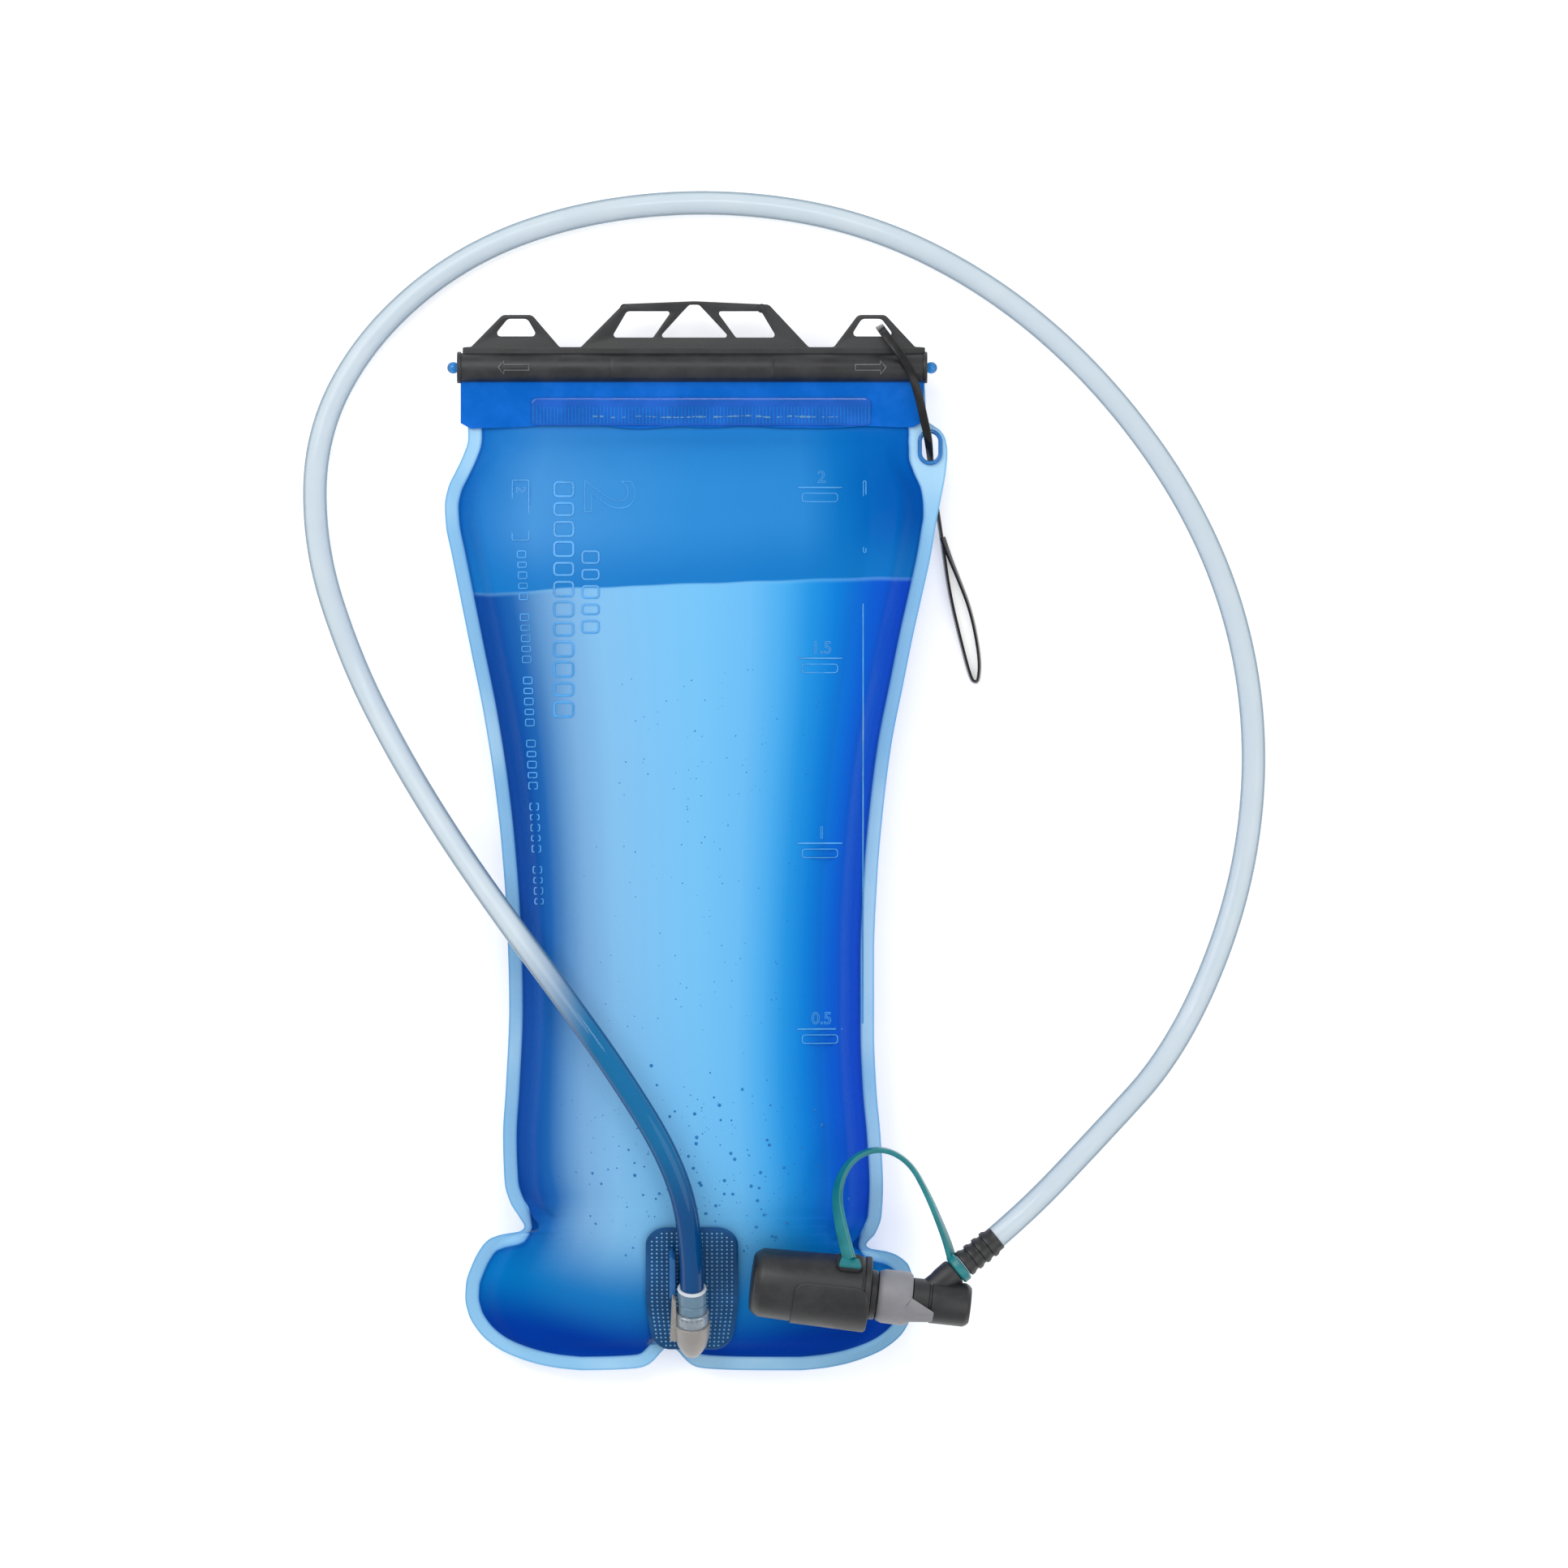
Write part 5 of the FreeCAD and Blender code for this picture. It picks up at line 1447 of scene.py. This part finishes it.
class BLADDER_OT_leash(Builder, bpy.types.Operator):
    """Hitch the black leash to its handle, through the hanging hole and down beside the bag"""
    bl_idname = "bladder.leash"
    bl_label = "Leash"

    def build(self, context):
        strand = [
            (66.9, 182.2, 17.2), (67.3, 181.4, 24.1), (70.8, 176.6, 27.5), (77.2, 168.0, 28.1),
            (80.6, 158.6, 26.9), (82.6, 149.6, 25.9), (84.2, 142.6, 24.4), (84.8, 137.4, 20.4),
            (85.6, 130.5, 12.6), (87.4, 118.0, 4.2), (89.4, 106.0, 1.7), (92.0, 87.0, 1.7),
            (96.3, 69.0, 1.7), (99.6, 56.6, 1.7), (101.0, 55.0, 1.7), (102.6, 55.6, 1.7), (103.0, 64.0, 1.7),
            (100.0, 80.0, 1.8), (95.4, 92.0, 2.2), (91.6, 101.0, 2.6), (89.6, 107.0, 2.6)]
        tilts = [0, 0, -14, -20, -8, 6, 24, 46, 62, 72, 78, 80, 80, 80, 80, 80, 80, 78, 74, 66, 60]
        band = strap("leash_strap", strand, 3.0, 0.9, tilts, 10)
        above_floor = 0.05 * MM
        if min(vertex.co.z for vertex in band.data.vertices) < 0:
            for vertex in band.data.vertices:
                vertex.co.z = max(vertex.co.z, above_floor)
        dress(band, finish_of("strap"), None, ["leash"], smooth=50)
        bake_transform(band)


class BLADDER_OT_marks(Builder, bpy.types.Operator):
    """Emboss the level marks, the side rib and the plain label pads, and scatter the bubbles"""
    bl_idname = "bladder.marks"
    bl_label = "Marks and bubbles"

    def build(self, context):
        surface = Film(True)

        def lay(obj, proud):
            """Drapes a flat piece onto the front film."""
            for vertex in obj.data.vertices:
                x, y, z = vertex.co / MM
                vertex.co.z = (surface.height(x, y) + proud + z) * MM

        def number(text, x, y, size, turn=0.0, line=0.16):
            """A number drawn as raised outlines."""
            bare()
            bpy.ops.object.text_add()
            obj = added(f"level_{text}")
            obj.data.body = text
            obj.data.size = size * MM
            obj.data.align_x = "CENTER"
            obj.data.align_y = "CENTER"
            obj.data.fill_mode = "NONE"
            obj.data.bevel_depth = line * MM
            obj.data.bevel_resolution = 1
            obj.data.resolution_u = 5
            bpy.ops.object.convert(target="MESH")
            obj = bpy.context.object
            return put(obj, shift(x, y, 0) @ Matrix.Rotation(turn, 4, "Z"))

        def frame_at(name, x, y, wide, long, corner, line=0.5):
            """A raised outline of a rounded pad."""
            half_wide, half_long = wide / 2, long / 2
            loops = []
            for inset in (0, line):
                a, b = half_wide - inset, half_long - inset
                loops.append(rounded([(-a, -b), (a, -b), (a, b), (-a, b)], max(corner - inset, 0.15), 3))
            obj = plate(name, loops, 0.44, 0.12)
            return put(obj, shift(x, y, 0))

        def bar_at(name, x, y, wide, long, corner):
            obj = pad(name, wide, long, corner, 0.24, 0.08, None, (6, max(6, int(long / 1.5))))
            return put(obj, shift(x, y, 0))

        marks = []
        for text, y in (("2", 124.4), ("1.5", 63.4), ("1", -2.5), ("0.5", -68.7)):
            marks.append(number(text, 46.2, y + 3.6, 6.0))
            marks.append(bar_at(f"level_line_{text}", 45.6, y, 16.0, 0.55, 0.25))
            marks.append(frame_at(f"level_pad_{text}", 45.6, y - 3.6, 13.0, 3.4, 1.2, 0.4))
        marks.append(frame_at("side_rib", 61.6, 114.0, 1.3, 26.0, 0.6, 0.4))
        marks.append(bar_at("side_rib_low", 61.0, 8.0, 0.5, 150.0, 0.2))
        marks.append(number("2", -30.4, 121.2, 26.0, -math.pi / 2, 0.26))
        marks.append(frame_at("label_box", -61.2, 116.3, 6.4, 22.0, 0.8))
        marks.append(number("2", -61.2, 123.6, 4.6, -math.pi / 2))
        for i in range(5):
            long = 4.9 - 0.8 * (i % 2)
            marks.append(frame_at(f"side_bar_{i}", -36.1, 99.4 - 6.2 * i, 6.6, long, 1.4, 0.7))
        for i in range(12):
            long = 5.9 - 0.7 * (i % 3 == 1)
            marks.append(frame_at(f"label_bar_{i}", -45.7, 123.8 - 7.15 * i, 7.6, long, 1.6, 0.8))
        for i in range(34):
            if i % 6 != 5:
                x, y, long = -60.8 + 0.19 * i, 100.5 - 3.75 * i, 2.8 - 0.5 * (i % 2)
                marks.append(frame_at(f"care_bar_{i}", x, y, 3.5, long, 0.7, 0.45))
        for obj in marks:
            lay(obj, 0.02)
        # painted highlight: the raised marks take a lighter blue than the film
        dress(join("film_marks", marks), finish_of("mark"), "bag", smooth=40)

        random.seed(7)
        bubbles = []
        for _ in range(430):
            x = random.gauss(6, 27)
            y = random.uniform(-150, -92) if random.random() < 0.45 else random.uniform(-150, 60)
            if not -50 < x < 58 or (abs(x) < 18 and y < -137):
                continue
            radius = 0.17 + 0.5 * random.random() ** 3 if y < -80 else 0.13 + 0.16 * random.random()
            bare()
            bpy.ops.mesh.primitive_ico_sphere_add(subdivisions=2 if radius > 0.4 else 1, radius=radius * MM)
            obj = added("bubble")
            bpy.ops.object.transform_apply()
            for vertex in obj.data.vertices:
                vertex.co.z *= 0.35
            z = surface.height(x, y)
            bubbles.append(put(obj, shift(x, y, z + 0.02)))
        dress(join("bubbles", bubbles), finish_of("bubble"), "bag", smooth=80)


class BLADDER_OT_small_parts(Builder, bpy.types.Operator):
    """Finish the rod, the hanging hole's rim and the parts inside the port"""
    bl_idname = "bladder.small_parts"
    bl_label = "Small parts"

    def build(self, context):
        low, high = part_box("closure_rod")
        rod = (low + high) / 2
        half = (high.x - low.x) / 2 / MM
        ball, neck = 2.15, 1.7    # radii
        shares = [-1, -0.92, -0.72, -0.4, 0.0, 0.4, 0.72]
        left_end = [(ball - half + ball * share, ball * math.sqrt(1 - share * share)) for share in shares]
        left_end.append((4.4 - half, neck))
        outline = left_end + [(-along, radius) for along, radius in reversed(left_end)]
        bar = turned("rod_with_balls", outline, Matrix.Translation(rod) @ ALONG_X, 32)
        dress(bar, finish_of("clear blue"), "bag", ["closure_rod"])

        low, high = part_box("eyelet_ring")
        centre = (low + high) / 2

        def oval(grow):
            wide, long = 2.9 + grow, 4.9 + grow
            turns = [math.pi * i / 16 for i in range(17)]
            arc = [(wide * math.cos(a), wide * math.sin(a) + long - wide) for a in turns]
            return arc + [(-x, -y) for x, y in arc]

        rim = plate("hanging_rim", [oval(1.55), oval(0)], 3.0, 0.6, Matrix.Translation(centre))
        dress(rim, finish_of("clear blue"), "bag", ["eyelet_ring"])

        finishes = {"port_seal": "rubber", "shutoff_poppet": "grey", "poppet_spring": "steel",
                    "plug_o_ring": "rubber"}
        for node, finish in finishes.items():
            materials = frame["nodes"][node].data.materials
            materials.clear()
            materials.append(finish_of(finish))


# ------------------------------------------------------------------------------------ panel
STEPS = [
    BLADDER_OT_stage, BLADDER_OT_valve, BLADDER_OT_tube, BLADDER_OT_films, BLADDER_OT_water, BLADDER_OT_flap,
    BLADDER_OT_slider, BLADDER_OT_leash, BLADDER_OT_port, BLADDER_OT_cap, BLADDER_OT_cap_strap,
    BLADDER_OT_marks, BLADDER_OT_small_parts,
]
SETTINGS = {
    "bladder_film": FilmSettings,
    "bladder_hardware": HardwareSettings,
    "bladder_tube": TubeSettings,
    "bladder_stage": StageSettings,
}


class BLADDER_PT_panel(bpy.types.Panel):
    """Lists the bladder's pieces in the order they are made"""
    bl_idname = "BLADDER_PT_panel"
    bl_label = "Hydration bladder"
    bl_space_type = "VIEW_3D"
    bl_region_type = "UI"
    bl_category = "Bladder"

    def draw(self, context):
        for step in STEPS:
            self.layout.operator(step.bl_idname)
        for name, group in SETTINGS.items():
            box = self.layout.box()
            for prop in group.__annotations__:
                box.prop(getattr(context.scene, name), prop)


def register():
    for group in (*SETTINGS.values(), *STEPS, BLADDER_PT_panel):
        bpy.utils.register_class(group)
    for name, group in SETTINGS.items():
        setattr(bpy.types.Scene, name, PointerProperty(type=group))


def unregister():
    for name in SETTINGS:
        delattr(bpy.types.Scene, name)
    for group in reversed((*SETTINGS.values(), *STEPS, BLADDER_PT_panel)):
        bpy.utils.unregister_class(group)


def main():
    register()
    for step in STEPS:
        category, name = step.bl_idname.split(".")
        getattr(getattr(bpy.ops, category), name)()


if __name__ == "__main__":
    main()
